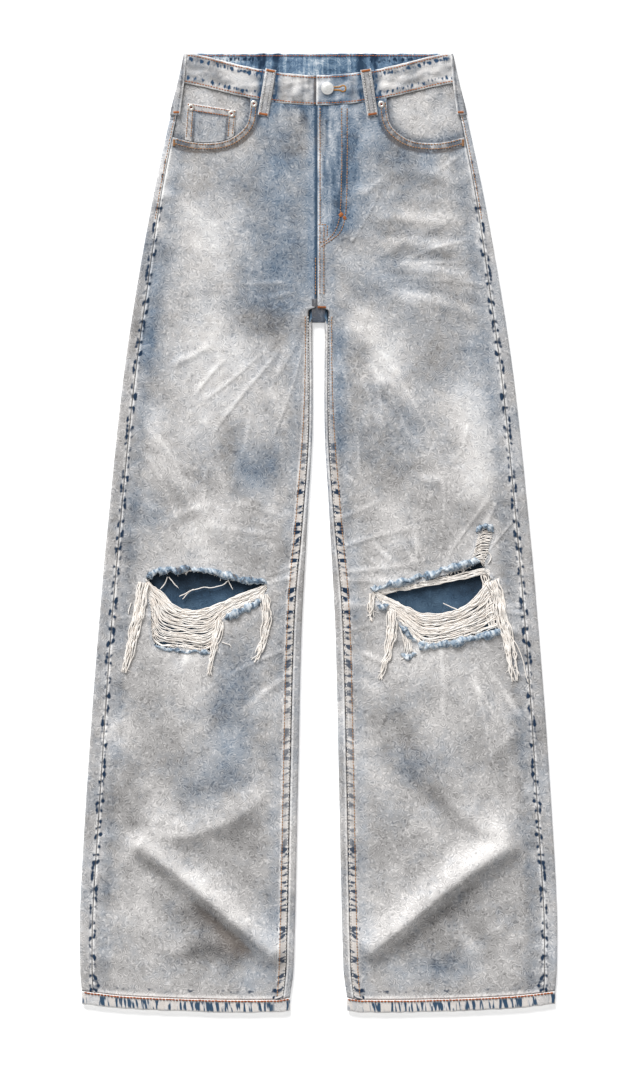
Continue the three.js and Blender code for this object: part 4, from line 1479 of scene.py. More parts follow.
        # Dark: painted shade of the recess between the legs, on raw indigo cloth.
        wear = -1.25 + 0.5 * bell(px, 1.2) + 0.6 * bell(np.abs(px), 0.9, 4.4)
        wear = wear + 0.4 * soft_noise(px, pu * 0.4, 3.2, 38)
        zero = np.zeros(len(px))
        skin.marks = {"wear": wear, "blue": zero + 0.6, "run": pu, "gap": px, "blot": zero + 0.5,
                      "block": zero}
        piece = self.room.shell("crotch_fork", skin, form.wall, "denim", "inner denim", "cut edge")
        return piece

    def dress(self, skin: Skin, side: int) -> None:
        """Gives a flat skin its heights and marks."""
        skin.set_heights(lambda x, up: self.height(side, x, up))
        skin.marks = self.marks(side, skin.points[:, 0], skin.points[:, 1])

    def facing(self, side: int, name: str) -> bpy.types.Object:
        """The denim that shows inside a pocket mouth."""
        form = self.room.form
        level = np.linspace(1022, form.band_low_level, 64)[:, None]
        x = side * mix(66.0, form.outseam(level) - 0.2, np.linspace(0, 1, 62))
        level = np.broadcast_to(level, x.shape)
        skin = Skin.grid(x, form.up_at(level, x), np.zeros(x.shape), flip=side < 0)
        skin.trim(grown(mouth_outline(side), 11), Keep.INSIDE).compact()
        px, pu = skin.points[:, 0], skin.points[:, 1]
        skin.set_heights(lambda x, up: form.top(x, up) - form.wall - form.gap
                         + 0.5 * soft_noise(x, up, 16, 31) - 0.2)
        gap, run, _ = nearest(side * px, pu, spline(MOUTH, 6.0))
        # Painted shade: the facing is made darker, bluer and blotted close to the mouth's lip, and darker
        # just under the band.
        shade = bell(gap, 6.5)
        top = bell(form.band_low(px) - pu, 5)
        wear = 0.18 + 0.16 * soft_noise(px, pu, 22, 33) - 0.75 * shade - 0.3 * top
        zero = np.zeros(len(px))
        skin.marks = {"wear": wear, "blue": 0.35 * shade + 0.15, "run": run, "gap": gap,
                      "blot": 0.45 * shade, "block": zero}
        piece = self.room.shell(f"pocket_facing_{name}_cloth", skin, form.wall, "denim",
                                "inner denim", "cut edge")
        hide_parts(f"pocket_facing_{name}")
        return piece

    def coin_pocket(self) -> bpy.types.Object:
        """The small pocket sewn on the right facing."""
        form = self.room.form
        x, up = np.meshgrid(np.arange(-166, -94, 1.3), np.arange(1026, 1096, 1.3))
        skin = Skin.grid(x, up, np.zeros(x.shape))
        skin.trim(spline_corners(COIN_POCKET), Keep.INSIDE)
        skin.trim(grown(mouth_outline(-1), -0.8), Keep.INSIDE).compact()
        px, pu = skin.points[:, 0], skin.points[:, 1]
        edge, _, _ = nearest(px, pu, np.array(COIN_POCKET + COIN_POCKET[:1], float))
        from_edge = np.abs(edge)
        fold = laid((Stroke(((-136, 1076), (-134, 1060), (-136, 1044)), 1.1, 3.2, fade=0.3),
                     Stroke(((-126, 1072), (-118, 1056)), 0.7, 4, fade=0.3)), px, pu)
        skin.set_heights(lambda x, up: form.top(x, up) + fold - 0.8 * brink(from_edge, 1.6)
                         + 0.25 * ease(8.4, 6.6, from_edge) + 0.2 * soft_noise(x, up, 9, 35))
        strip = ease(8.2, 7.0, from_edge)
        wear = 0.12 + 0.6 * bell(from_edge, 1.1) - 0.8 * bell(from_edge, 1.8, 9.6)
        # The fold's crests are lightened as painted highlight.
        skin.marks = {"wear": wear + 0.25 * fold, "blue": 0.2 + 0.25 * (1 - strip), "run": px + pu,
                      "gap": from_edge, "blot": 0.4 * bell(from_edge, 2.5, 10),
                      "block": 0.3 * strip}
        piece = self.room.shell("coin_pocket_cloth", skin, form.wall, "denim", "inner denim", "cut edge")
        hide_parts("coin_pocket")
        return piece


def spline_corners(outline: Sequence[Point]) -> Array:
    """A closed outline with sharp corners, marked off finely."""
    ring = np.array([*outline, outline[0]], float)
    sides = [marked_off(ring[k:k + 2], 2.0)[:-1] for k in range(len(outline))]
    return np.vstack(sides)


# ---- the backs -----------------------------------------------------------------------------------
@dataclass
class Backs:
    """The two back panels, their yokes and patch pockets."""

    room: Workroom
    row_step: float = 4.0
    strip_steps: int = 8
    bend_steps: int = 8
    under_steps: int = 26

    def columns(self, side: int, level: Array, edge: float) -> tuple[Array, Array, Array]:
        """Points across a leg's lower layer, from the inseam round to the outseam.

        Args:
            side: -1 for the right leg, 1 for the left one.
            level: heights along the garment, one row each.
            edge: radius of the folded edges.

        Returns:
            Place across, height and distance from the nearer seam, as rows and columns.
        """
        form = self.room.form
        inner, outer = form.inner(level), form.outer(level)
        floor = form.seat_lift(level)
        angle = np.linspace(0, np.pi, self.bend_steps)
        share = np.linspace(0, 1, self.strip_steps)[:-1]
        seam_in, seam_out = form.inseam(level) - form.gap, form.outseam(level) + form.gap
        inner_strip = mix(seam_in, inner + edge, share)
        inner_bend = inner + edge - edge * np.sin(angle)
        under = mix(inner + edge, outer - edge, np.linspace(0, 1, self.under_steps)[1:-1])
        outer_bend = outer - edge + edge * np.sin(angle)
        outer_strip = mix(outer - edge, seam_out, np.linspace(0, 1, self.strip_steps + 2)[1:])
        top = lambda x: form.top(side * x, np.broadcast_to(level, x.shape)) + 2 * (edge - form.edge)
        z = [top(inner_strip), floor + edge + edge * np.cos(angle), floor + 0 * under,
             floor + edge - edge * np.cos(angle), top(outer_strip)]
        x = np.hstack([inner_strip, inner_bend, under, outer_bend, outer_strip])
        turned = inner_strip.shape[1] + inner_bend.shape[1]
        seat_x = 0.15 + 1.1 * np.arange(turned) + np.zeros(level.shape)
        share_up = np.clip((level - form.crotch_up) / (form.fork_up - form.crotch_up), 0, 1)
        z = np.hstack(z)
        x[:, :turned] = mix(x[:, :turned], seat_x, share_up)
        z[:, :turned] = mix(z[:, :turned], floor + 0 * seat_x, share_up)
        gap = np.minimum(np.abs(x - seam_in), np.abs(x - seam_out))
        return x, z, gap

    def skin(self, side: int, low: Callable[[Array], Array], high: Callable[[Array], Array],
             rows: int, edge: float) -> Skin:
        """A stretch of the lower layer between two lines across it."""
        form = self.room.form
        x0, _, _ = self.columns(side, np.array([[1056.0]]), edge)
        share = np.linspace(0, 1, rows)[:, None]
        bounds = mix(low(x0), high(x0), share)
        xs, zs, gaps = [], [], []
        for k in range(bounds.shape[1]):
            x, z, gap = self.columns(side, bounds[:, k:k + 1], edge)
            xs.append(x[:, k])
            zs.append(z[:, k])
            gaps.append(gap[:, k])
        x, z, gap = (np.stack(values, axis=1) for values in (xs, zs, gaps))
        up = form.up_at(bounds, side * x, dips=False)
        skin = Skin.grid(side * x, up, z, flip=side > 0)
        upper = (z > form.seat_lift(bounds) + 1.6 * edge).ravel()
        flat_x, flat_up, flat_gap = side * x.ravel(), up.ravel(), gap.ravel()
        skin.points[:, 2] += upper * 0.5 * bell(flat_gap, 1.3, 1.8)
        # The raised seam strips get a pale lip along the seam: rubbed wear with a painted highlight.
        wear = laid(WEAR_AND_SHADE, flat_x, flat_up) * upper + 0.05 + 0.7 * upper * bell(flat_gap, 1.1, 1.4)
        wear = wear + 0.12 * soft_noise(flat_x, flat_up, 60, 51) - 0.08 * ~upper
        # Painted shadow: the lower layer is darkened under the upper edge of the knee holes.
        wear = wear - 0.75 * ease(478, 528, flat_up) * ease(600, 545, flat_up) * ~upper
        outer_side = np.abs(flat_x) > form.outer(flat_up) - 40
        blot = 1.2 * upper * outer_side * bell(flat_gap, 4.4, 2.2) * ease(1080, 1000, flat_up)
        blue = 0.2 + 0.25 * soft_noise(flat_x, flat_up, 70, 52) + 0.25 * ease(900, 1100, flat_up)
        skin.marks = {"wear": wear, "blue": np.clip(blue, 0, 1), "run": flat_up, "gap": -flat_gap,
                      "blot": blot, "block": np.zeros(len(flat_x))}
        return skin

    def build(self) -> list[bpy.types.Object]:
        """Makes the back legs, yokes and back pockets."""
        form = self.room.form
        pieces = []
        for side, name in ((-1, "right"), (1, "left")):
            leg = self.skin(side, lambda x: 0 * x, lambda x: YOKE_SEAM(x) - 0.2,
                            int(1056 / self.row_step), form.edge)
            yoke = self.skin(side, lambda x: YOKE_SEAM(x) + 0.2,
                             lambda x: 0 * x + form.band_low_level, 26, form.edge)
            for skin, label, node, flat, area in (
                    (leg, f"back_{name}", f"back_leg_{name}", (0.32, 1.07), 0.266),
                    (yoke, f"yoke_{name}_cloth", f"yoke_{name}", (0.185, 0.07), 0.0106)):
                piece = self.room.shell(label, skin, form.wall, "denim", "inner denim", "cut edge")
                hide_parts(node)
                pieces.append(piece)
            pieces.append(self.pocket(side, name))
        return pieces

    def pocket(self, side: int, name: str) -> bpy.types.Object:
        """A plain five-sided patch pocket, under the seat."""
        form = self.room.form
        outline = np.array(BACK_POCKET, float) if side > 0 else mirrored(BACK_POCKET)
        x, up = np.meshgrid(side * np.arange(30, 172, 2.6), np.arange(872, 1042, 2.6))
        skin = Skin.grid(x, up, np.zeros(x.shape), flip=side > 0)
        skin.trim(spline_corners([tuple(p) for p in outline]), Keep.INSIDE).compact()
        ring = np.vstack([outline, outline[:1]])
        edge, run, _ = nearest(skin.points[:, 0], skin.points[:, 1], ring)
        from_edge = np.abs(edge)
        skin.set_heights(lambda x, up: 0.02 + 0.5 * brink(from_edge, 2.2))
        zero = np.zeros(len(from_edge))
        skin.marks = {"wear": 0.1 + 0.6 * bell(from_edge, 1.6), "blue": zero + 0.2,
                      "run": run, "gap": from_edge, "blot": zero,
                      "block": 0.4 * ease(8, 6, from_edge)}
        piece = self.room.shell(f"back_pocket_{name}_cloth", skin, form.wall - 0.1, "denim",
                                "inner denim", "cut edge")
        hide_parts(f"back_pocket_{name}")
        return piece


# ---- waistband and hems --------------------------------------------------------------------------
@dataclass
class Waistband:
    """One strip from the button stand, round the back, to the free end at the fly."""

    room: Workroom
    step: float = 1.6
    rows: tuple[float, ...] = (0, 0.5, 1.2, 2.2, 3.4, 4.6, 6, 8, 10, 12, 14, 16, 18, 20, 22, 24, 26,
                               28, 30, 31.4, 32.6, 33.8, 34.8, 35.5, 36)
    stand: float = 42.0
    lap_end: float = -2.5
    sink: float = 1.9

    def top(self, x: Array) -> Array:
        """Height of the band's front before its seams are shaped."""
        form = self.room.form
        high = form.top(x, np.full(np.shape(x), form.band_low_level))
        return high + form.band_proud

    def height(self, x: Array, up: Array) -> Array:
        """Height of the band's front at a place, for what is sewn on it."""
        x = np.asarray(x, float)
        lap = np.where(x < self.lap_end, -self.sink * ease(-30, -6, x), self.room.form.lap_rise(x))
        run = np.abs(x)
        return self.top(x) + lap + self.pucker(run, up - self.room.form.band_low(x))

    def pucker(self, run: Array, depth: Array) -> Array:
        """How the band is rounded at its edges and puckered along its rows of stitches."""
        full = self.room.form.band_depth
        edge = np.minimum(depth, full - depth)
        roll = -1.0 * brink(edge, 1.8)
        ribs = 0.6 * soft_noise(run, depth * 0.35, 5.2, 61) * bell(edge, 7)
        valley = -0.25 * bell(edge, 0.9, 2.6)
        drag = 1.0 * soft_noise(run * 0.5 + depth * 0.8, depth, 7.5, 62)
        return roll + ribs + valley + drag * ease(1, 8, edge)

    def build(self) -> list[bpy.types.Object]:
        """Makes the band."""
        form = self.room.form
        level = form.band_low_level
        taper = float(form.outer(form.waist_up) / form.outer(level))
        reach = float(form.outer(level)) - form.edge
        floor = float(form.seat_lift(level))
        tall = form.edge + form.band_proud / 2
        angle = np.linspace(0, np.pi, 9)[1:-1]
        stretch = lambda start, end: marked_off(np.array([[start], [end]]), self.step)[:, 0]
        stand_x = stretch(self.stand, -reach)
        under_x = stretch(-reach, reach)
        lap_x = stretch(reach, self.lap_end)
        bend_x, bend_z = reach + form.edge * np.sin(angle), floor + tall + tall * np.cos(angle)
        stand_z = self.top(stand_x) - self.sink * ease(-30, -6, stand_x)
        x = np.concatenate([stand_x, -bend_x, under_x, bend_x[::-1], lap_x])
        z = np.concatenate([stand_z, bend_z, floor + 0 * under_x, bend_z[::-1],
                            self.top(lap_x) + form.lap_rise(lap_x)])
        low = form.band_low(x)
        hidden = np.arange(len(x)) < np.sum(stand_x > 2)
        low = low + hidden
        low[len(stand_x):len(x) - len(lap_x)] = level
        run = np.r_[0, np.cumsum(np.hypot(np.diff(x), np.diff(z)))]
        depth = np.array(self.rows)[:, None]
        scale = mix(1.0, taper, depth / form.band_depth)
        from_edge = np.minimum(depth, form.band_depth - depth)
        up = low + depth + 0.35 * soft_noise(run[None], depth * 0, 6.5, 63) * bell(from_edge, 3)
        under = np.zeros(len(x), bool)
        under[len(stand_x):len(x) - len(lap_x)] = True
        shaped = z + self.pucker(np.abs(np.broadcast_to(x, up.shape)), depth) * np.where(under, 0.15, 1)
        skin = Skin.grid(x * scale, up, shaped, flip=True)
        flat = lambda values: np.broadcast_to(values, up.shape).ravel()
        edge = flat(np.minimum(depth, form.band_depth - depth))
        across = flat(x)
        wear = 0.24 + 0.3 * soft_noise(flat(run), flat(depth), 22, 64)
        wear = wear + 0.5 * soft_noise(flat(run) * 0.5 + flat(depth), flat(depth) - 0.3 * flat(run), 5.5, 65)
        wear = wear + 0.8 * bell(edge, 1.0) - 0.35 * bell(edge, 1.4, 3.2)
        blue = 0.15 + 0.45 * ease(6, 0.4, np.abs(np.abs(across) - 16)) * (across > -8)
        # Painted shadow beside the front loops: the band is darker, bluer and blotted there.
        loop_shade = bell(np.abs(np.abs(across) - 61), 5, 9) * (np.abs(across) < 90)
        wear = wear - 0.95 * loop_shade - 0.6 * bell(across, 18, 28) * flat(~under)
        blue = np.clip(blue + 0.8 * loop_shade + 0.9 * bell(across, 24, 24), 0, 1)
        # Painted shadow on the button stand just beyond the band's free end, and a painted highlight on that
        # end's edge.
        on_stand = flat(np.arange(len(x)) < len(stand_x))
        wear = wear - 1.6 * on_stand * ease(-7, -3.2, across)
        wear = wear + 0.9 * ~on_stand * bell(across - self.lap_end, 1.6) * flat(~under)
        streak = soft_noise(flat(run), flat(depth) * 0.2, 3.6, 66) * ease(62, 48, np.abs(across))
        wear = wear + 0.45 * streak * flat(~under)
        blot = 1.25 * bell(edge, 5.2, 7.2) * ease(40, 75, np.abs(across))
        blot = blot + 1.0 * loop_shade + 0.75 * bell(edge, 3, 18) * ease(60, 95, np.abs(across))
        skin.marks = {"wear": wear, "blue": blue, "run": flat(run * 1.9), "gap": flat(depth * 1.0),
                      "blot": np.clip(blot, 0, 1.25), "block": np.zeros(len(edge))}
        piece = self.room.shell("waistband_cloth", skin, form.band_wall, "band denim", "band inside",
                                "cut edge")
        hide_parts("waistband")
        log.info("waistband: %d faces", len(piece.data.polygons))
        return [piece]


@dataclass
class Hems:
    """The turned-up ends of the legs, each a closed strip round the leg."""

    room: Workroom
    step: float = 1.5
    wall: float = 2.4
    edge: float = 3.4
    rows: tuple[float, ...] = (0, 0.4, 1.0, 1.9, 3.0, 4.4, 6, 7.6, 9.2, 10.8, 12.2, 13.4, 14.4, 15.1, 15.6)

    def rope(self, x: Array, depth: Array) -> Array:
        """The slanting ridges of a washed hem."""
        full = self.room.form.hem_depth
        edge = np.minimum(depth, full - depth)
        lean = x + 0.45 * depth + 2.2 * soft_noise(x, depth, 13, 71)
        ridges = 0.42 * np.sin(2 * np.pi * lean / 6.4) * ease(0, 3, edge)
        return ridges - 1.2 * brink(edge, 2.4)

    def height(self, x: Array, up: Array) -> Array:
        """Height of the hem's upper side, for its row of stitches."""
        form = self.room.form
        depth = up - form.hem_rise(form.hem_share(x))
        return 2 * self.edge + self.rope(x, depth)

    def build(self) -> list[bpy.types.Object]:
        """Makes both hems."""
        form = self.room.form
        pieces = []
        for side, name in ((-1, "right"), (1, "left")):
            inner, outer = float(form.inner(0)), float(form.outer(0))
            low, high = inner + self.edge, outer - self.edge
            stretch = lambda start, end: marked_off(np.array([[start], [end]]), self.step)[:, 0]
            angle = np.linspace(0, np.pi, 9)[1:-1]
            under, over = stretch(low, high), stretch(high, low)
            x = np.concatenate([low - self.edge * np.sin(angle), under,
                                high + self.edge * np.sin(angle), over])
            z = np.concatenate([self.edge + self.edge * np.cos(angle), 0 * under,
                                self.edge - self.edge * np.cos(angle), 0 * over + 2 * self.edge])
            on_top = np.concatenate([0.5 * (1 + np.cos(angle)), 0 * under,
                                     0.5 * (1 - np.cos(angle)), 1 + 0 * over])
            depth = np.array(self.rows)[:, None]
            xs = np.broadcast_to(side * x, (len(self.rows), len(x)))
            wave = 0.45 * soft_noise(xs, depth * 0, 7, 72) * bell(depth, 3)
            up = form.hem_rise(form.hem_share(xs)) + depth + wave
            height = z + self.rope(xs, depth) * on_top
            skin = Skin.grid(xs, up, height, flip=side > 0, closed=True)
            edge = np.broadcast_to(np.minimum(depth, form.hem_depth - depth), up.shape).ravel()
            deep = np.broadcast_to(depth, up.shape).ravel()
            block = ease(0.6, 2.2, deep) * ease(form.hem_depth - 2.6, form.hem_depth - 3.8, deep)
            seams = np.minimum(np.abs(np.abs(xs) - float(form.outseam(0))),
                               np.abs(np.abs(xs) - float(form.inseam(0)) - 4)).ravel()
            block = block * ease(4.0, 9.0, seams) * 0.98
            wear = 0.45 + 0.6 * bell(edge, 0.9)
            zero = np.zeros(len(deep))
            skin.marks = {"wear": wear, "blue": zero + 0.15, "run": xs.ravel() * 1.4,
                          "gap": deep * 0.6, "blot": zero, "block": block}
            piece = self.room.shell(f"hem_{name}_cloth", skin, self.wall, "hem denim", "inner denim",
                                    "cut edge")
            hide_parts(f"hem_{name}")
            pieces.append(piece)
        return pieces


# ---- belt loops ----------------------------------------------------------------------------------
@dataclass
class BeltLoops:
    """Five strips that stand across the waistband."""

    room: Workroom
    band: Waistband
    width: float = 13.0
    wall: float = 1.5
    front: tuple[tuple[str, Point, Point], ...] = (
        ("belt_loop_front_right", (-57, 1131), (-66.6, 1075)),
        ("belt_loop_front_left", (56.4, 1131), (65, 1075)))
    side_up: tuple[float, float] = (1076, 1150)
    side_start: tuple[float, float] = (-8.4, 0.5)
    back_up: tuple[float, float] = (1086, 1149)

    def arch(self, x: Array, up: Array) -> Array:
        """Height of a front loop's underside."""
        form = self.room.form
        seat = self.band.top(x) + form.gap
        below = ease(0.5, -9.0, up - form.band_low(x))
        belly = 0.9 * np.sin(np.pi * np.clip((up - form.band_low(x)) / form.band_depth, 0, 1))
        return seat + form.lap_rise(x) * 1.3 + belly - below * form.band_proud

    def profile(self, across: Array) -> Array:
        """Shape across a strip: two felled edges and a flat middle."""
        edge = self.width / 2 - np.abs(across)
        return 0.35 * bell(edge, 1.1, 1.9) - 0.9 * brink(edge, 1.2)

    def marks(self, across: Array, along: Array) -> dict[str, Array]:
        """Wear of a strip."""
        edge = self.width / 2 - np.abs(across)
        wear = 0.05 + 0.75 * bell(edge, 1.1) - 0.6 * bell(edge, 0.9, 3.2)
        wear = wear + 0.25 * soft_noise(across, along, 7, 81)
        zero = np.zeros(len(across))
        return {"wear": wear, "blue": zero + 0.25, "run": along, "gap": across,
                "blot": 0.35 * bell(along % 30, 5), "block": zero}

    def finish(self, name: str, skin: Skin, length: float, rests: str) -> bpy.types.Object:
        """Makes one loop from its skin."""
        piece = self.room.shell(f"{name}_cloth", skin, self.wall * 0.85, "denim", "denim", "cut edge")
        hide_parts(name)
        return piece

    def build(self) -> list[bpy.types.Object]:
        """Makes the five loops."""
        form = self.room.form
        pieces = []
        across = np.linspace(-1, 1, 15) * self.width / 2
        for name, top, bottom in self.front:
            run = np.array(bottom, float) - top
            length = float(np.linalg.norm(run))
            run /= length
            along = np.linspace(0, length, 46)[:, None]
            x = top[0] + run[0] * along - run[1] * across
            up = top[1] + run[1] * along + run[0] * across
            ends = -0.9 * brink(np.minimum(along, length - along), 1.2)
            z = self.arch(x, up) + self.wall + self.profile(across) + ends
            skin = Skin.grid(x, up, z, flip=True)
            skin.marks = self.marks(np.tile(across, 46), np.repeat(along[:, 0], 15))
            pieces.append(self.finish(name, skin, 0.057, "waistband_cloth"))
        for side, name in ((-1, "right"), (1, "left")):
            pieces.append(self.side_loop(side, name))
        x, up = np.meshgrid(across, np.arange(self.back_up[0], self.back_up[1] + 0.1, 1.5))
        skin = Skin.grid(x, up, 0.15 - np.minimum(0, self.profile(x)), flip=True)
        skin.marks = self.marks(x.ravel(), up.ravel())
        pieces.append(self.back_loop(skin))
        log.info("belt loops: %d", len(pieces))
        return pieces

    def back_loop(self, skin: Skin) -> bpy.types.Object:
        """The loop at the centre back, below the band."""
        piece = self.room.shell("belt_loop_back_cloth", skin, 0.9, "denim", "denim", "cut edge")
        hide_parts("belt_loop_back")
        return piece

    def side_loop(self, side: int, name: str) -> bpy.types.Object:
        """A loop that wraps the folded side of the band."""
        form = self.room.form
        level = form.band_low_level
        floor = float(form.seat_lift(level))
        wide, high = form.edge, form.edge + form.band_proud / 2
        bend = np.pi * form.edge
        row = np.linspace(0, 1, 44)[:, None]
        share = np.linspace(0, 1, 22)
        up = mix(*self.side_up, row)
        fold = form.outer(up) - form.edge
        arc = mix(*self.side_start, row) + self.width * share
        angle = np.pi * np.clip(arc / bend, 0, 1)
        straight = np.where(arc < 0, arc, np.minimum(0, bend - arc))
        off = 1.45 + 0.5 * self.profile((share - 0.5) * self.width)
        x = side * (fold + straight + (wide + off) * np.sin(angle))
        z = floor + high + (high + off) * np.cos(angle)
        up = np.broadcast_to(up, x.shape)
        skin = Skin.grid(x, up, z, flip=side < 0)
        across = np.tile((share - 0.5) * self.width, 44)
        skin.marks = self.marks(across, up.ravel())
        return self.finish(f"belt_loop_side_{name}", skin, 0.074, "waistband_cloth")


# ---- ripped knees --------------------------------------------------------------------------------
@dataclass(frozen=True)
class Rip:
    """One ripped knee, drawn as lines on the leg.

    Attributes:
        name: right or left.
        upper: the upper edge of the cross threads left in the hole.
        lower: the lower edge of the hole, in the same direction.
        rolls: frayed rolls of blue cloth: line and half-thickness.
        strays: single loose yarns.
    """

    name: str
    upper: tuple[Point, ...]
    lower: tuple[Point, ...]
    rolls: tuple[tuple[tuple[Point, ...], float], ...]
    strays: tuple[tuple[Point, ...], ...]
    band: tuple[Point, ...] = ()


RIPS = (
    Rip("right",
        ((-207, 521), (-201, 513), (-190, 506), (-180, 495), (-164, 484.5), (-141, 483), (-112, 494),
         (-86, 505), (-62, 513)),
        ((-204, 498), (-201, 478), (-197, 444), (-164, 438), (-130, 436), (-118, 466), (-100, 480),
         (-72, 496), (-62, 510)),
        ((((-206, 521), (-196, 528), (-184, 531.5), (-170, 531), (-154, 533)), 3.2),
         (((-154, 533), (-138, 530), (-123, 528), (-106, 523), (-90, 520), (-62, 515)), 2.5),
         (((-197, 441), (-184, 436), (-172, 436), (-158, 433), (-146, 435), (-130, 430)), 1.7),
         (((-112, 472), (-98, 480), (-84, 486), (-68, 497)), 3.4)),
        (((-107, 518), (-122, 511), (-141, 509), (-154, 505), (-167, 499)),
         ((-150, 508), (-158, 502), (-163, 496)), ((-181, 523), (-183, 515), (-190, 508)),
         ((-179, 523), (-174, 514), (-168, 509)), ((-110, 521), (-106, 514), (-102, 508)),
         ((-118, 524), (-117, 518)), ((-225, 492), (-228, 478)), ((-116, 444), (-106, 442), (-104, 438)))),
    Rip("left",
        ((65, 505), (80, 498), (103, 487.8), (121, 479), (143.4, 478), (168.6, 484), (190, 500), (203, 520)),
        ((66, 500), (78, 488), (98, 470), (116, 449), (128, 442), (158, 447), (194, 456), (218, 464)),
        ((((62, 509), (78, 512), (93, 515), (108, 518), (125, 524)), 2.6),
         (((125, 524), (140, 527), (153, 533), (166, 535), (180, 539), (193, 541)), 3.0),
         (((119, 443), (133, 438.5), (150, 441), (172, 446), (196, 452), (219, 459)), 3.0),
         (((189, 577), (196, 583), (204, 582), (210, 578)), 2.8),
         (((180, 537), (187, 541), (194, 540)), 2.4), (((70, 490), (77, 486), (85, 488)), 2.2),
         (((96, 467), (104, 458), (110, 449), (118, 444)), 2.4), (((99, 430), (107, 426), (117, 432)), 2.3)),
        (((150, 492), (158, 486), (170, 482)), ((220, 470), (238, 440), (252, 396)),
         ((96, 470), (92, 452), (88, 440)), ((199, 556), (207, 548), (203, 538)),
         *(((182 + 0.4 * k, 536 + 1.5 * k), (190 + 0.42 * k, 540 + 1.5 * k), (200 + 0.36 * k, 540 + 1.5 * k))
           for k in range(26)),
         *(((193 + 1.6 * k, 531 - k), (199 + 1.6 * k, 500), (204 + 1.6 * k, 462)) for k in range(8)),
         *(((97 + 1.3 * k, 463 - 1.6 * k), (101 + 1.3 * k, 448), (104 + 1.3 * k, 433)) for k in range(8)),
         ((196, 566), (192, 556), (195, 548)), ((104, 452), (110, 440), (104, 428), (98, 424))),
        ((66, 503), (95, 509), (130, 515), (165, 522), (196, 529), (206, 527))),
)

FRINGES = (
    ("fringe_right_outer", ((-209, 516), (-217, 476), (-225, 441), (-232, 408)), 9.0, 13),
    ("fringe_right_middle", ((-118, 470), (-123, 447), (-127, 429), (-131, 405)), 6.0, 8),
    ("fringe_right_inner", ((-65, 502), (-62, 469), (-69, 435), (-78, 421)), 7.0, 9),
    ("fringe_left_inner", ((64, 503), (63, 488), (63.5, 470)), 5.0, 6),
    ("fringe_left_middle", ((87, 482), (87, 460), (83.5, 430), (74, 400)), 7.0, 9),
    ("fringe_left_outer", ((208, 518), (215, 500), (220, 470), (226, 450), (231, 420), (235, 398)),
     10.0, 14),
)


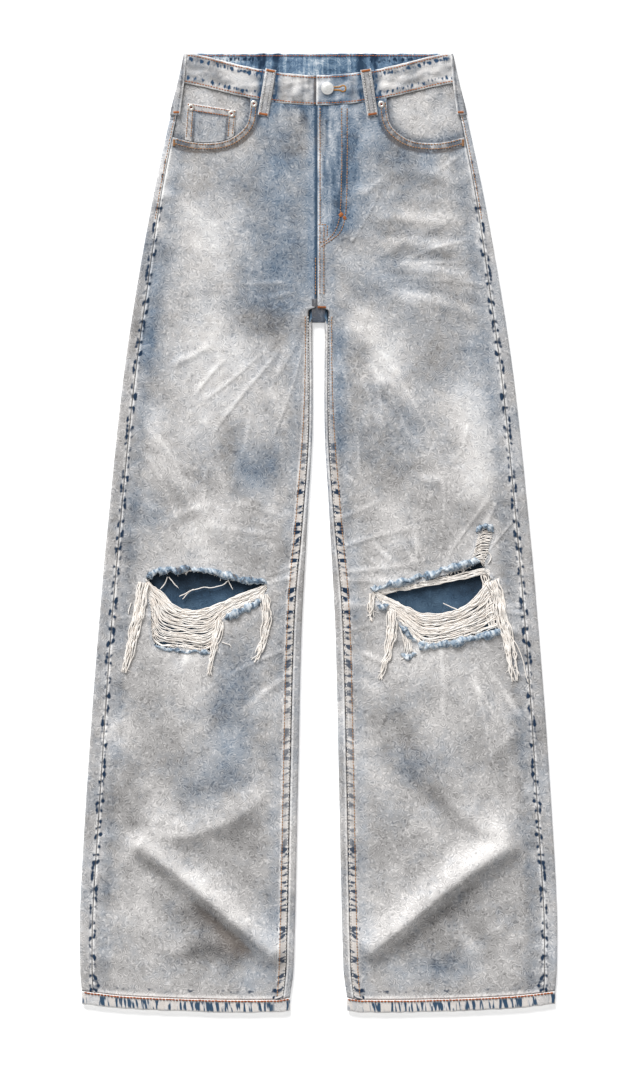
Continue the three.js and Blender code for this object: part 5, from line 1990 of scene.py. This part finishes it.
@dataclass
class RippedKnees:
    """Loose threads, frayed rolls and fringes of both knees."""

    room: Workroom
    ladder_count: int = 38
    yarn: float = 0.74
    bed: float = 4.3
    fibres: tuple[tuple[str, float, float, str], ...] = (
        ("cream yarn", 0.5, 4.6, "pale"), ("navy thread", 0.0, 2.6, "dark"),
        ("white thread", 0.35, 3.4, "white"))

    def strand(self, line: Array, radius: float, rng: np.random.Generator,
               wobble: float = 0.5) -> tuple[Array, Array]:
        """Makes one yarn along a line, with the small waves that it kept from the weave."""
        marks = spline(line, 3.2)
        count = len(marks)
        run = np.arange(count) * 3.2
        sway = wobble * soft_noise(run, run * 0, 8.0, int(rng.integers(1, 9999)))
        lift = 0.5 * wobble * soft_noise(run, run * 0, 6.0, int(rng.integers(1, 9999)))
        across = unit(np.gradient(marks[:, :2], axis=0))
        marks = marks + np.column_stack([-across[:, 1] * sway, across[:, 0] * sway, lift])
        taper = radius * (0.8 + 0.3 * rng.random(count))
        taper[-1] *= 0.5
        return tube(marks, taper, 5)

    def ladder(self, rip: Rip) -> bpy.types.Object:
        """The cross threads that still span the hole."""
        rng = np.random.default_rng(len(rip.name) * 7)
        upper, lower = (marked_off(spline(line, 3.0), 1.0) for line in (rip.upper, rip.lower))
        t = np.linspace(0, 1, 26)
        at = lambda line: np.stack([np.interp(t, np.linspace(0, 1, len(line)), line[:, k])
                                    for k in (0, 1)], axis=1)
        upper, lower = at(upper), at(lower)
        parts = []
        for share in np.linspace(0, 1, self.ladder_count):
            share = np.clip(share + 0.022 * np.sin(share * 41 + 1.3) + rng.normal(0, 0.008), 0, 1)
            line = mix(upper, lower, share)
            bed = self.bed + rng.uniform(-0.7, 0.9) + 0.3 * np.sin(np.pi * t)
            bed = bed - 0.5 * (np.abs(t - 0.5) > 0.46)
            parts.append(self.strand(np.column_stack([line, bed]), self.yarn * rng.uniform(0.75, 1.2),
                                     rng, 1.25))
        for share in np.linspace(0, 0.16, 9):
            line = mix(upper, lower, share)
            parts.append(self.strand(np.column_stack([line, self.bed + 1.2 + 0 * t]),
                                     self.yarn * 1.15, rng, 1.7))
        for _ in range(26):
            start, end = sorted(rng.uniform(0.05, 0.95, 2))
            keep = (t >= start) & (t <= max(end, start + 0.12))
            share = rng.uniform(0.05, 0.9) + (t[keep] - start) * rng.uniform(-0.5, 0.5)
            line = mix(upper[keep], lower[keep], np.clip(share, 0, 1)[:, None])
            if len(line) > 2:
                bed = self.bed + rng.uniform(0.4, 1.4)
                parts.append(self.strand(np.column_stack([line, np.full(len(line), bed)]),
                                         self.yarn * 0.7, rng, 1.2))
        for line in rip.strays:
            line = np.array(line, float)
            z = np.full(len(line), self.bed + 0.6)
            outside = ~inside(line[:, 0], line[:, 1], np.array(self.hole(rip), float))
            z[outside] = self.room.form.top(line[outside, 0], line[outside, 1]) + 0.8
            parts.append(self.strand(np.column_stack([line, z]), 0.66, rng, 1.1))
        if rip.band:
            line = spline(rip.band, 6.0)
            for shift in np.linspace(-3.2, 3.2, 8):
                moved = line + (0, shift)
                parts.append(self.strand(np.column_stack([moved, np.full(len(moved), self.bed + 1.0)]),
                                         self.yarn, rng, 1.0))
        piece = self.room.joined(f"knee_threads_{rip.name}_yarns", parts, "cream yarn")
        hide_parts(f"knee_threads_{rip.name}")
        log.info("knee threads %s: %d yarns", rip.name, len(parts))
        return piece

    @staticmethod
    def hole(rip: Rip) -> tuple[Point, ...]:
        """The outline of the hole that a rip belongs to."""
        return RIP_RIGHT if rip.name == "right" else RIP_LEFT

    def roll(self, line: Sequence[Point], thick: float, rng: np.random.Generator) -> tuple[Array, Array]:
        """A frayed edge that has rolled up on itself, lumpy and twisted."""
        marks = spline(line, 1.1)
        run = np.arange(len(marks)) * 1.1
        seed = int(rng.integers(1, 9999))
        sway = 2.0 * soft_noise(run, run * 0, 8.0, seed)
        marks = marks + (0, 1) * sway[:, None]
        top = self.room.form.top(marks[:, 0], marks[:, 1])
        swell = thick * (1.25 + 0.6 * soft_noise(run, run * 0, 5.0, seed + 1))
        ends = ease(0, 5, run) * ease(run[-1], run[-1] - 5, run)
        swell = swell * (0.25 + 0.75 * ends)
        points, faces = tube(np.column_stack([marks, top + 0.1 * thick]), swell, 14)
        twist = soft_noise(points[:, 0] * 1.3 + points[:, 2] * 2, points[:, 1] * 1.3, 2.6, seed + 2)
        points[:, 1] += 1.5 * twist
        points[:, 2] = np.maximum(points[:, 2] + 1.1 * twist, 3.4)
        return points, faces

    def fray(self, rip: Rip) -> list[bpy.types.Object]:
        """Blue rolls along the hole's edge and the short fibres that stand out of it."""
        rng = np.random.default_rng(90 + len(rip.name))
        rolls = [self.roll(line, thick, rng) for line, thick in rip.rolls]
        count = sum(len(points) for points, _ in rolls)
        places = np.vstack([points for points, _ in rolls])
        slant = 1.6 * places[:, 0] + places[:, 1]
        noise = 0.1 + 1.1 * soft_noise(slant, places[:, 1] + places[:, 2], 2.9, 301)
        zero = np.zeros(count)
        marks = {"wear": noise, "blue": zero + 0.1, "run": zero, "gap": zero, "blot": zero, "block": zero}
        cloth = self.room.joined(f"frayed_edge_{rip.name}", rolls, "frayed blue", marks)
        outline = spline(self.hole(rip), 1.0, closed=True)
        centre = outline.mean(axis=0)
        pieces = [cloth]
        for finish, share, reach, label in self.fibres:
            hairs = []
            for k in range(0, len(outline) - 1, 2 if label != "dark" else 4):
                at = outline[k] + rng.normal(0, 0.5, 2)
                run = outline[k + 1] - outline[k]
                out = np.array([-run[1], run[0]]) / max(np.linalg.norm(run), 1e-9)
                out = out if np.dot(centre - at, out) > 0 else -out
                length = reach * rng.uniform(0.4, 1.25)
                if label == "dark" and at[1] > 536:
                    length *= 0.3
                way = out * rng.uniform(0.2, 1.0) * (1 if rng.random() > share * 0.6 else -1)
                way = way + run * rng.normal(0, 0.9)
                bend = rng.normal(0, 0.35, 2)
                step = np.linspace(0, 1, 4)[:, None]
                line = at + way * length * step + bend * length * step**2
                z = 5.7 + rng.uniform(-0.6, 1.4) + np.linspace(0, rng.uniform(-0.8, 0.9), 4)
                hairs.append(tube(np.column_stack([line, z]), rng.uniform(0.16, 0.3), 4))
            piece = self.room.joined(f"frayed_{label}_fibres_{rip.name}", hairs, finish)
            pieces.append(piece)
        return pieces

    def fringe(self, name: str, line: Sequence[Point], width: float, count: int) -> bpy.types.Object:
        """A hanging bundle of loose yarns that thins out to its tip."""
        rng = np.random.default_rng(int(width * 10) + count)
        marks = spline(line, 5.0)
        share = np.linspace(0, 1, len(marks))
        run = unit(np.gradient(marks, axis=0))
        across = -right_of(run)
        parts = []
        count = int(1.4 * count)
        for k in range(count):
            place = (k + 0.5) / count - 0.5
            stop = max(3, int(len(marks) * rng.uniform(0.55, 1.0))) if k % 3 else len(marks)
            narrowing = 1 - 0.45 * share**1.4
            stray = (0.8 + 2.6 * share) * soft_noise(share * 30, share * 0, 8, 200 + k)
            shift = 1.5 * width * place * narrowing + stray
            path = (marks + across * shift[:, None])[:stop]
            bed = self.room.form.top(path[:, 0], path[:, 1]) + 1.3 + rng.uniform(-0.4, 0.9)
            hooked = np.column_stack([path, bed])
            parts.append(self.strand(hooked, 0.78 * rng.uniform(0.75, 1.15), rng, 1.7))
        for _ in range(9):
            k = int(rng.integers(1, len(marks) - 1))
            start = marks[k]
            way = across[k] * rng.choice([-1, 1]) * rng.uniform(3, 7) + run[k] * rng.uniform(2, 7)
            path = np.array([start, start + way * 0.5, start + way + rng.normal(0, 1.2, 2)])
            bed = self.room.form.top(path[:, 0], path[:, 1]) + 1.0
            parts.append(self.strand(np.column_stack([path, bed]), 0.34, rng, 0.6))
        piece = self.room.joined(f"{name}_yarns", parts, "cream yarn")
        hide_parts(name)
        return piece

    def build(self) -> list[bpy.types.Object]:
        """Makes all that is loose at the knees."""
        pieces = []
        for rip in RIPS:
            pieces.append(self.ladder(rip))
            pieces += self.fray(rip)
        pieces += [self.fringe(*row) for row in FRINGES]
        log.info("ripped knees: %d pieces", len(pieces))
        return pieces


# ---- metal ---------------------------------------------------------------------------------------
@dataclass
class Hardware:
    """The shank button, its buttonhole and the four rivets."""

    room: Workroom
    band: Waistband
    button: tuple[float, float, float] = (10.7, 1108.0, 7.7)
    rivets: tuple[tuple[str, float, float], ...] = (
        ("rivet_pocket_right", -77.4, 1089.6), ("rivet_pocket_left", 75.4, 1089.0),
        ("rivet_coin_outer", -152.6, 1085.2), ("rivet_coin_inner", -104.4, 1077.6))

    def build(self) -> list[bpy.types.Object]:
        """Makes the button, the buttonhole and the rivets."""
        x, up, radius = self.button
        seat = float(self.band.top(np.array([x]))[0]) + 1.1
        dish = [(0.01, 0.1), (radius * 0.8, 0.1), (radius * 0.93, 0.5), (radius, 1.3), (radius * 0.99, 1.9),
                (radius * 0.95, 2.3), (radius * 0.9, 2.5), (radius * 0.86, 2.42), (radius * 0.8, 2.5),
                (radius * 0.6, 2.95), (radius * 0.35, 3.2), (radius * 0.15, 3.28), (0.01, 3.3)]
        button = self.room.joined("shank_button_cap", [lathe(dish, (x, up, seat), 64)], "brushed steel")
        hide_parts("shank_button")
        pieces = [button, self.keyhole()]
        for name, rx, rup in self.rivets:
            height = float(self.room.form.top(np.array([rx]), np.array([rup]))[0]) + 0.3
            cap = [(0.01, -0.4), (3.7, -0.4), (4.15, 0.1), (4.2, 0.7), (3.9, 1.15), (3.2, 1.4), (2.2, 1.45),
                   (1.5, 1.3), (1.25, 0.95), (0.01, 0.9)]
            rivet = self.room.joined(f"{name}_cap", [lathe(cap, (rx, rup, height), 40)], "steel cap")
            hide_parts(name)
            core = [(0.01, 0.7), (1.2, 0.75), (1.1, 1.25), (0.6, 1.6), (0.01, 1.7)]
            pin = self.room.joined(f"{name}_pin", [lathe(core, (rx, rup, height), 20)], "copper core")
            pieces += [rivet, pin]
        log.info("hardware: %d pieces", len(pieces))
        return pieces

    def keyhole(self) -> bpy.types.Object:
        """The corded buttonhole beside the button."""
        thread = Thread("buttonhole_stitches", "golden thread", radius=0.5)
        x, up, _ = self.button
        outline = spline(((x + 21.4, up + 0.2), (x + 20.4, up + 2.6), (x + 17.4, up + 2.8),
                          (x + 14.4, up + 1.3), (x + 4.0, up + 0.9), (x + 4.0, up - 1.1),
                          (x + 14.4, up - 1.5), (x + 17.4, up - 3.0), (x + 20.4, up - 2.6)), 0.8, closed=True)
        after, before = np.roll(outline, -1, axis=0), np.roll(outline, 1, axis=0)
        for at, way in zip(outline, right_of(unit(after - before))):
            ends = np.array([at - way * 0.25, at + way * 1.35])
            z = self.band.height(ends[:, 0], ends[:, 1]) + 0.35
            thread.stitches.append(capsule(np.append(ends[0], z[0]), np.append(ends[1], z[1]), 0.42))
        return thread.sewn(self.room)


# ---- the stitching -------------------------------------------------------------------------------
@dataclass
class Stitching:
    """Every visible row of stitches and every bar tack."""

    room: Workroom
    fronts: Fronts
    band: Waistband
    hems: Hems
    loops: BeltLoops

    def build(self) -> list[bpy.types.Object]:
        """Sews all the threads."""
        threads = [*self.band_rows(), *self.pockets(), *self.fly(), *self.inseams(), *self.outseams(),
                   self.hem_rows(), *self.loop_rows(), *self.back_rows()]
        return [thread.sewn(self.room) for thread in threads]

    def band_rows(self) -> list[Thread]:
        """Two rows along the band's front and one along its inside at the back."""
        form = self.room.form
        rows = Thread("waistband_stitches", "orange thread")
        for depth in (2.6, form.band_depth - 2.6):
            for start, end in ((-163, self.band.lap_end - 1.5), (self.band.lap_end + 1.5, 163)):
                x = np.linspace(start, end, 60)
                shrink = 1 - 0.046 * depth / form.band_depth
                line = np.column_stack([x * shrink, form.band_low(x) + depth])
                rows.row(line, self.band.height)
        x = np.linspace(-150, 150, 40)
        inside_row = Thread("waistband_inner_stitches", "rust thread")
        floor = form.seat_rise + form.band_wall
        inside_row.row(np.column_stack([x, 0 * x + form.waist_up - 2.4]), lambda a, b: 0 * a + floor, 0.35)
        return [rows, inside_row]

    def pockets(self) -> list[Thread]:
        """Double rows round the pocket mouths and the coin pocket."""
        tan = Thread("pocket_stitches", "tan thread")
        for side in (-1, 1):
            line = mouth_line(side)
            out = right_of(unit(np.gradient(line, axis=0))) * side
            out = np.where((out[:, 1] < 0)[:, None] | (np.abs(out[:, 1]) < 0.3)[:, None], out, -out)
            height = lambda x, up, side=side: self.fronts.height(side, x, up)
            for distance in (1.7, 7.0):
                moved = line + out * distance
                keep = moved[:, 1] < self.room.form.band_low(moved[:, 0]) - 2.5
                keep &= np.abs(moved[:, 0]) < self.room.form.outseam(moved[:, 1]) - 1.5
                tan.row(moved[keep], height)
            tack = (side * (self.room.form.outseam(1040.0) - 4.0), 1043.0)
            tan.bar_tack(tack, (0, 8.0), 3.0, height)
        coin = Thread("coin_pocket_stitches", "orange thread", pitch=3.1, length=2.4)
        height = lambda x, up: self.room.form.top(x, up) + 0.1
        for inset in (1.7, 8.0):
            coin.row(((-156.5, 1091 - inset), (-100.0, 1082 - inset)), height)
        browns = Thread("coin_pocket_side_stitches", "tan thread", pitch=3.1, length=2.4)
        for inset in (1.7, 7.2):
            browns.row(((-157.6 + inset, 1089), (-160.2 + inset, 1049)), height)
            browns.row(((-98.8 - inset, 1080), (-101.4 - inset, 1056 - 0.9 * inset)), height)
        return [tan, coin, browns]

    def fly(self) -> list[Thread]:
        """The J of the fly, its tacks, and the felled seam below it."""
        left = lambda x, up: self.fronts.height(1, x, up)
        tan = Thread("fly_stitches", "tan thread")
        for shift in (0.0, 6.6):
            tan.row(((27.6 + shift, 1084), (27.9 + shift, 1030), (27.0 + shift, 975), (24.6 + shift, 950),
                     (19.0 + 0.9 * shift, 936 - 0.2 * shift), (10, 926 - 0.5 * shift),
                     (2.0, 923.6 - 0.9 * shift)), left)
        tan.row(((1.8, 1084), (1.8, 1000), (1.8, 946)), left)
        for x in (1.6, 6.4):
            tan.row(((x, 942), (x, 900), (x, 862)), left)
        tan.row(((0.5, 945), (10.5, 945)), left)
        tan.row(((10.6, 943), (10.2, 930)), left)
        right = lambda x, up: self.fronts.height(-1, x, up)
        tan.row(((-3.6, 905), (-3.6, 862)), right)
        tacks = Thread("fly_tacks", "orange thread")
        tacks.bar_tack((27.0, 957.0), (3.4, 3.6), 5.0, left)
        tacks.bar_tack((31.4, 953.0), (2.0, -4.0), 4.0, left)
        tacks.bar_tack((4.0, 846.0), (10.0, 0), 2.6, left)
        return [tan, tacks]

    def inseams(self) -> list[Thread]:
        """Two rows on each felled inseam."""
        form = self.room.form
        cream = Thread("inseam_edge_stitches", "white thread")
        tan = Thread("inseam_stitches", "tan thread")
        up = np.linspace(21, 836, 60)
        for side in (-1, 1):
            height = lambda x, at, side=side: self.fronts.height(side, x, at)
            for inset, thread in ((1.7, cream), (8.3, tan)):
                across = form.inseam(up) + inset * self.fronts.felled(up) / self.fronts.strip
                thread.row(np.column_stack([side * across, up]), height)
        return [cream, tan]

    def outseams(self) -> list[Thread]:
        """The short topstitched length of each outseam below the waist."""
        form = self.room.form
        tan = Thread("outseam_stitches", "tan thread")
        up = np.linspace(952, 1108, 24)
        for side in (-1, 1):
            tan.row(np.column_stack([side * (form.outseam(up) + 2.4), up]),
                    lambda x, at: form.top(x, at) + 0.35)
        return [tan]

    def hem_rows(self) -> Thread:
        """One heavy row round each hem."""
        form = self.room.form
        rust = Thread("hem_stitches", "rust thread", pitch=3.9, length=3.4, radius=0.95)
        for side in (-1, 1):
            x = side * np.linspace(float(form.inner(0)) + 2.0, float(form.outer(0)) - 2.0, 40)
            up = form.hem_rise(form.hem_share(x)) + form.hem_depth - 1.7
            rust.row(np.column_stack([x, up]), self.hems.height, 0.45)
            rust.row(np.column_stack([x[3:-3], up[3:-3]]), lambda a, b: 0 * a + 0.35, 0.0)
        return rust

    def loop_rows(self) -> list[Thread]:
        """Rows along the front loops and bar tacks at their ends."""
        rows = Thread("belt_loop_stitches", "white thread", pitch=3.1, length=2.4, radius=0.45)
        tacks = Thread("belt_loop_tacks", "orange thread")
        for _, top, bottom in self.loops.front:
            run = np.array(bottom, float) - top
            length = float(np.linalg.norm(run))
            run /= length
            across = np.array([-run[1], run[0]])
            height = lambda x, up: self.loops.arch(x, up) + self.loops.wall
            for shift in (-3.9, 3.9):
                start, end = np.array(top) + across * shift, np.array(bottom) + across * shift
                rows.row([start + run * 4, end - run * 4], height)
            for place in (1.9, length - 2.4):
                tacks.bar_tack(tuple(np.array(top) + run * place), tuple(across * 10.5), 2.8, height)
        form = self.room.form
        for side in (-1, 1):
            fold = float(form.outer(1078.0)) - form.edge
            side_height = lambda x, up: 0 * x + form.seat_rise + 2 * form.edge + 2.2
            tacks.bar_tack((side * (fold - 3.5), 1079.5), (7.0, 0), 2.8, side_height)
        return [rows, tacks]

    def back_rows(self) -> list[Thread]:
        """Rows on the hidden side: yokes, centre back, patch pockets and the back loop."""
        form = self.room.form
        seat = lambda x, up: 0 * x + form.seat_rise - 0.05
        rows = Thread("back_stitches", "tan thread", pitch=4.2, length=3.3, radius=0.45)
        x = np.linspace(3, 176, 20)
        for side in (-1, 1):
            for drop in (2.0, 7.5):
                rows.row(np.column_stack([side * x, YOKE_SEAM(x) - drop]), seat, 0.0)
            outline = np.array(BACK_POCKET, float) * (side, 1)
            for inset in (2.4, 7.6):
                ring = grown(outline, -inset)
                for start, end in zip(ring, np.roll(ring, -1, axis=0)):
                    rows.row([start, end], lambda a, b: 0 * a + 0.42, 0.0)
        for x_row in (2.2, 7.8):
            rows.row(((x_row, 1112), (x_row, 960), (x_row, 874)), seat, 0.0)
        tacks = Thread("back_tacks", "orange thread")
        for up in (1089.0, 1146.0):
            tacks.bar_tack((0, up), (10.0, 0), 2.6, lambda a, b: 0 * a + 0.3, 0.0)
        return [rows, tacks]


# ---- studio --------------------------------------------------------------------------------------
@dataclass(frozen=True)
class Studio:
    """A white floor, one broad raking light from beyond the waist, and a camera straight overhead.

    Attributes:
        view_height: height of the camera, in metres.
        lens: its focal length, and sensor its width, in millimetres.
        aim: the place it looks straight down on.
        key_power: strength of the light.
        key_slant: how far it leans, and key_turn where from, in degrees.
        key_spread: width of its disc, in degrees; wider means softer shadows.
        sky: strength of the even light from all round.
        floor_glow: how much the floor shines by itself.
        floor_half: half the floor's width, and floor_drop how far below the cloth it lies.
    """

    view_height: float = 7.11
    lens: float = 200.0
    sensor: float = 36.0
    aim: tuple[float, float] = (0.0018, -0.0003)
    key_power: float = 3.75
    key_slant: float = -60.0
    key_turn: float = 20.0
    key_spread: float = 30.0
    sky: float = 0.47
    floor_glow: float = 0.35
    floor_half: float = 6.0
    floor_drop: float = 0.0004

    def build(self) -> None:
        """Sets the floor, the lights and the camera."""
        self.floor()
        self.key_light()
        world = bpy.data.worlds.new("studio")
        bpy.context.scene.world = world
        world.use_nodes = True
        world.node_tree.nodes["Background"].inputs["Color"].default_value = (1, 1, 1, 1)
        world.node_tree.nodes["Background"].inputs["Strength"].default_value = self.sky
        self.camera()
        bpy.context.scene.view_settings.view_transform = "Standard"

    def floor(self) -> None:
        """A wide white sweep of card."""
        material, graph, shader = new_finish("white card")
        place = graph.add("ShaderNodeTexCoord").outputs["Object"]
        shade = graph.noise(place, 3.0, 2.0)
        graph.feed(shader.inputs["Base Color"], graph.ramp(shade, ((0.0, "fafafa"), (1.0, "ffffff"))))
        shader.inputs["Roughness"].default_value = 0.9
        shader.inputs["Emission Color"].default_value = (1, 1, 1, 1)
        shader.inputs["Emission Strength"].default_value = self.floor_glow
        half, low = self.floor_half, -self.floor_drop
        corners = np.array([(-half, -half, low), (half, -half, low), (half, half, low), (-half, half, low)])
        floor = new_object("floor", corners, np.array([[0, 1, 2, 3]]), [material], np.zeros(1), {})
        floor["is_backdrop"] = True

    def key_light(self) -> None:
        """A broad raking light from beyond the waist, a little from the right leg's side."""
        data = bpy.data.lights.new("key light", "SUN")
        data.energy = self.key_power
        data.angle = math.radians(self.key_spread)
        lamp = bpy.data.objects.new("key light", data)
        bpy.context.scene.collection.objects.link(lamp)
        lamp.location = (-1.0, 2.5, 2.0)
        lamp.rotation_euler = (math.radians(self.key_slant), 0, math.radians(self.key_turn))

    def camera(self) -> None:
        """A long lens straight above, with the waist at the top of the picture."""
        data = bpy.data.cameras.new("overhead camera")
        data.lens = self.lens
        data.sensor_width = self.sensor
        data.clip_end = 30.0
        camera = bpy.data.objects.new("overhead camera", data)
        bpy.context.scene.collection.objects.link(camera)
        camera.location = (*self.aim, self.view_height)
        bpy.context.scene.camera = camera


def main() -> None:
    """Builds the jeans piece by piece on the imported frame."""
    logging.basicConfig(level=logging.INFO, format="%(message)s")
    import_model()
    form = Form()
    effects = Effects()
    finishes = {finish.name: finish.make(effects) for finish in FINISHES}
    room = Workroom(form, Laying.on_frame(form), finishes)
    fronts = Fronts(room)
    band = Waistband(room)
    hems = Hems(room)
    loops = BeltLoops(room, band)
    Backs(room).build()
    fronts.build()
    band.build()
    hems.build()
    loops.build()
    RippedKnees(room).build()
    Hardware(room, band).build()
    Stitching(room, fronts, band, hems, loops).build()
    Studio().build()


if __name__ == "__main__":
    main()
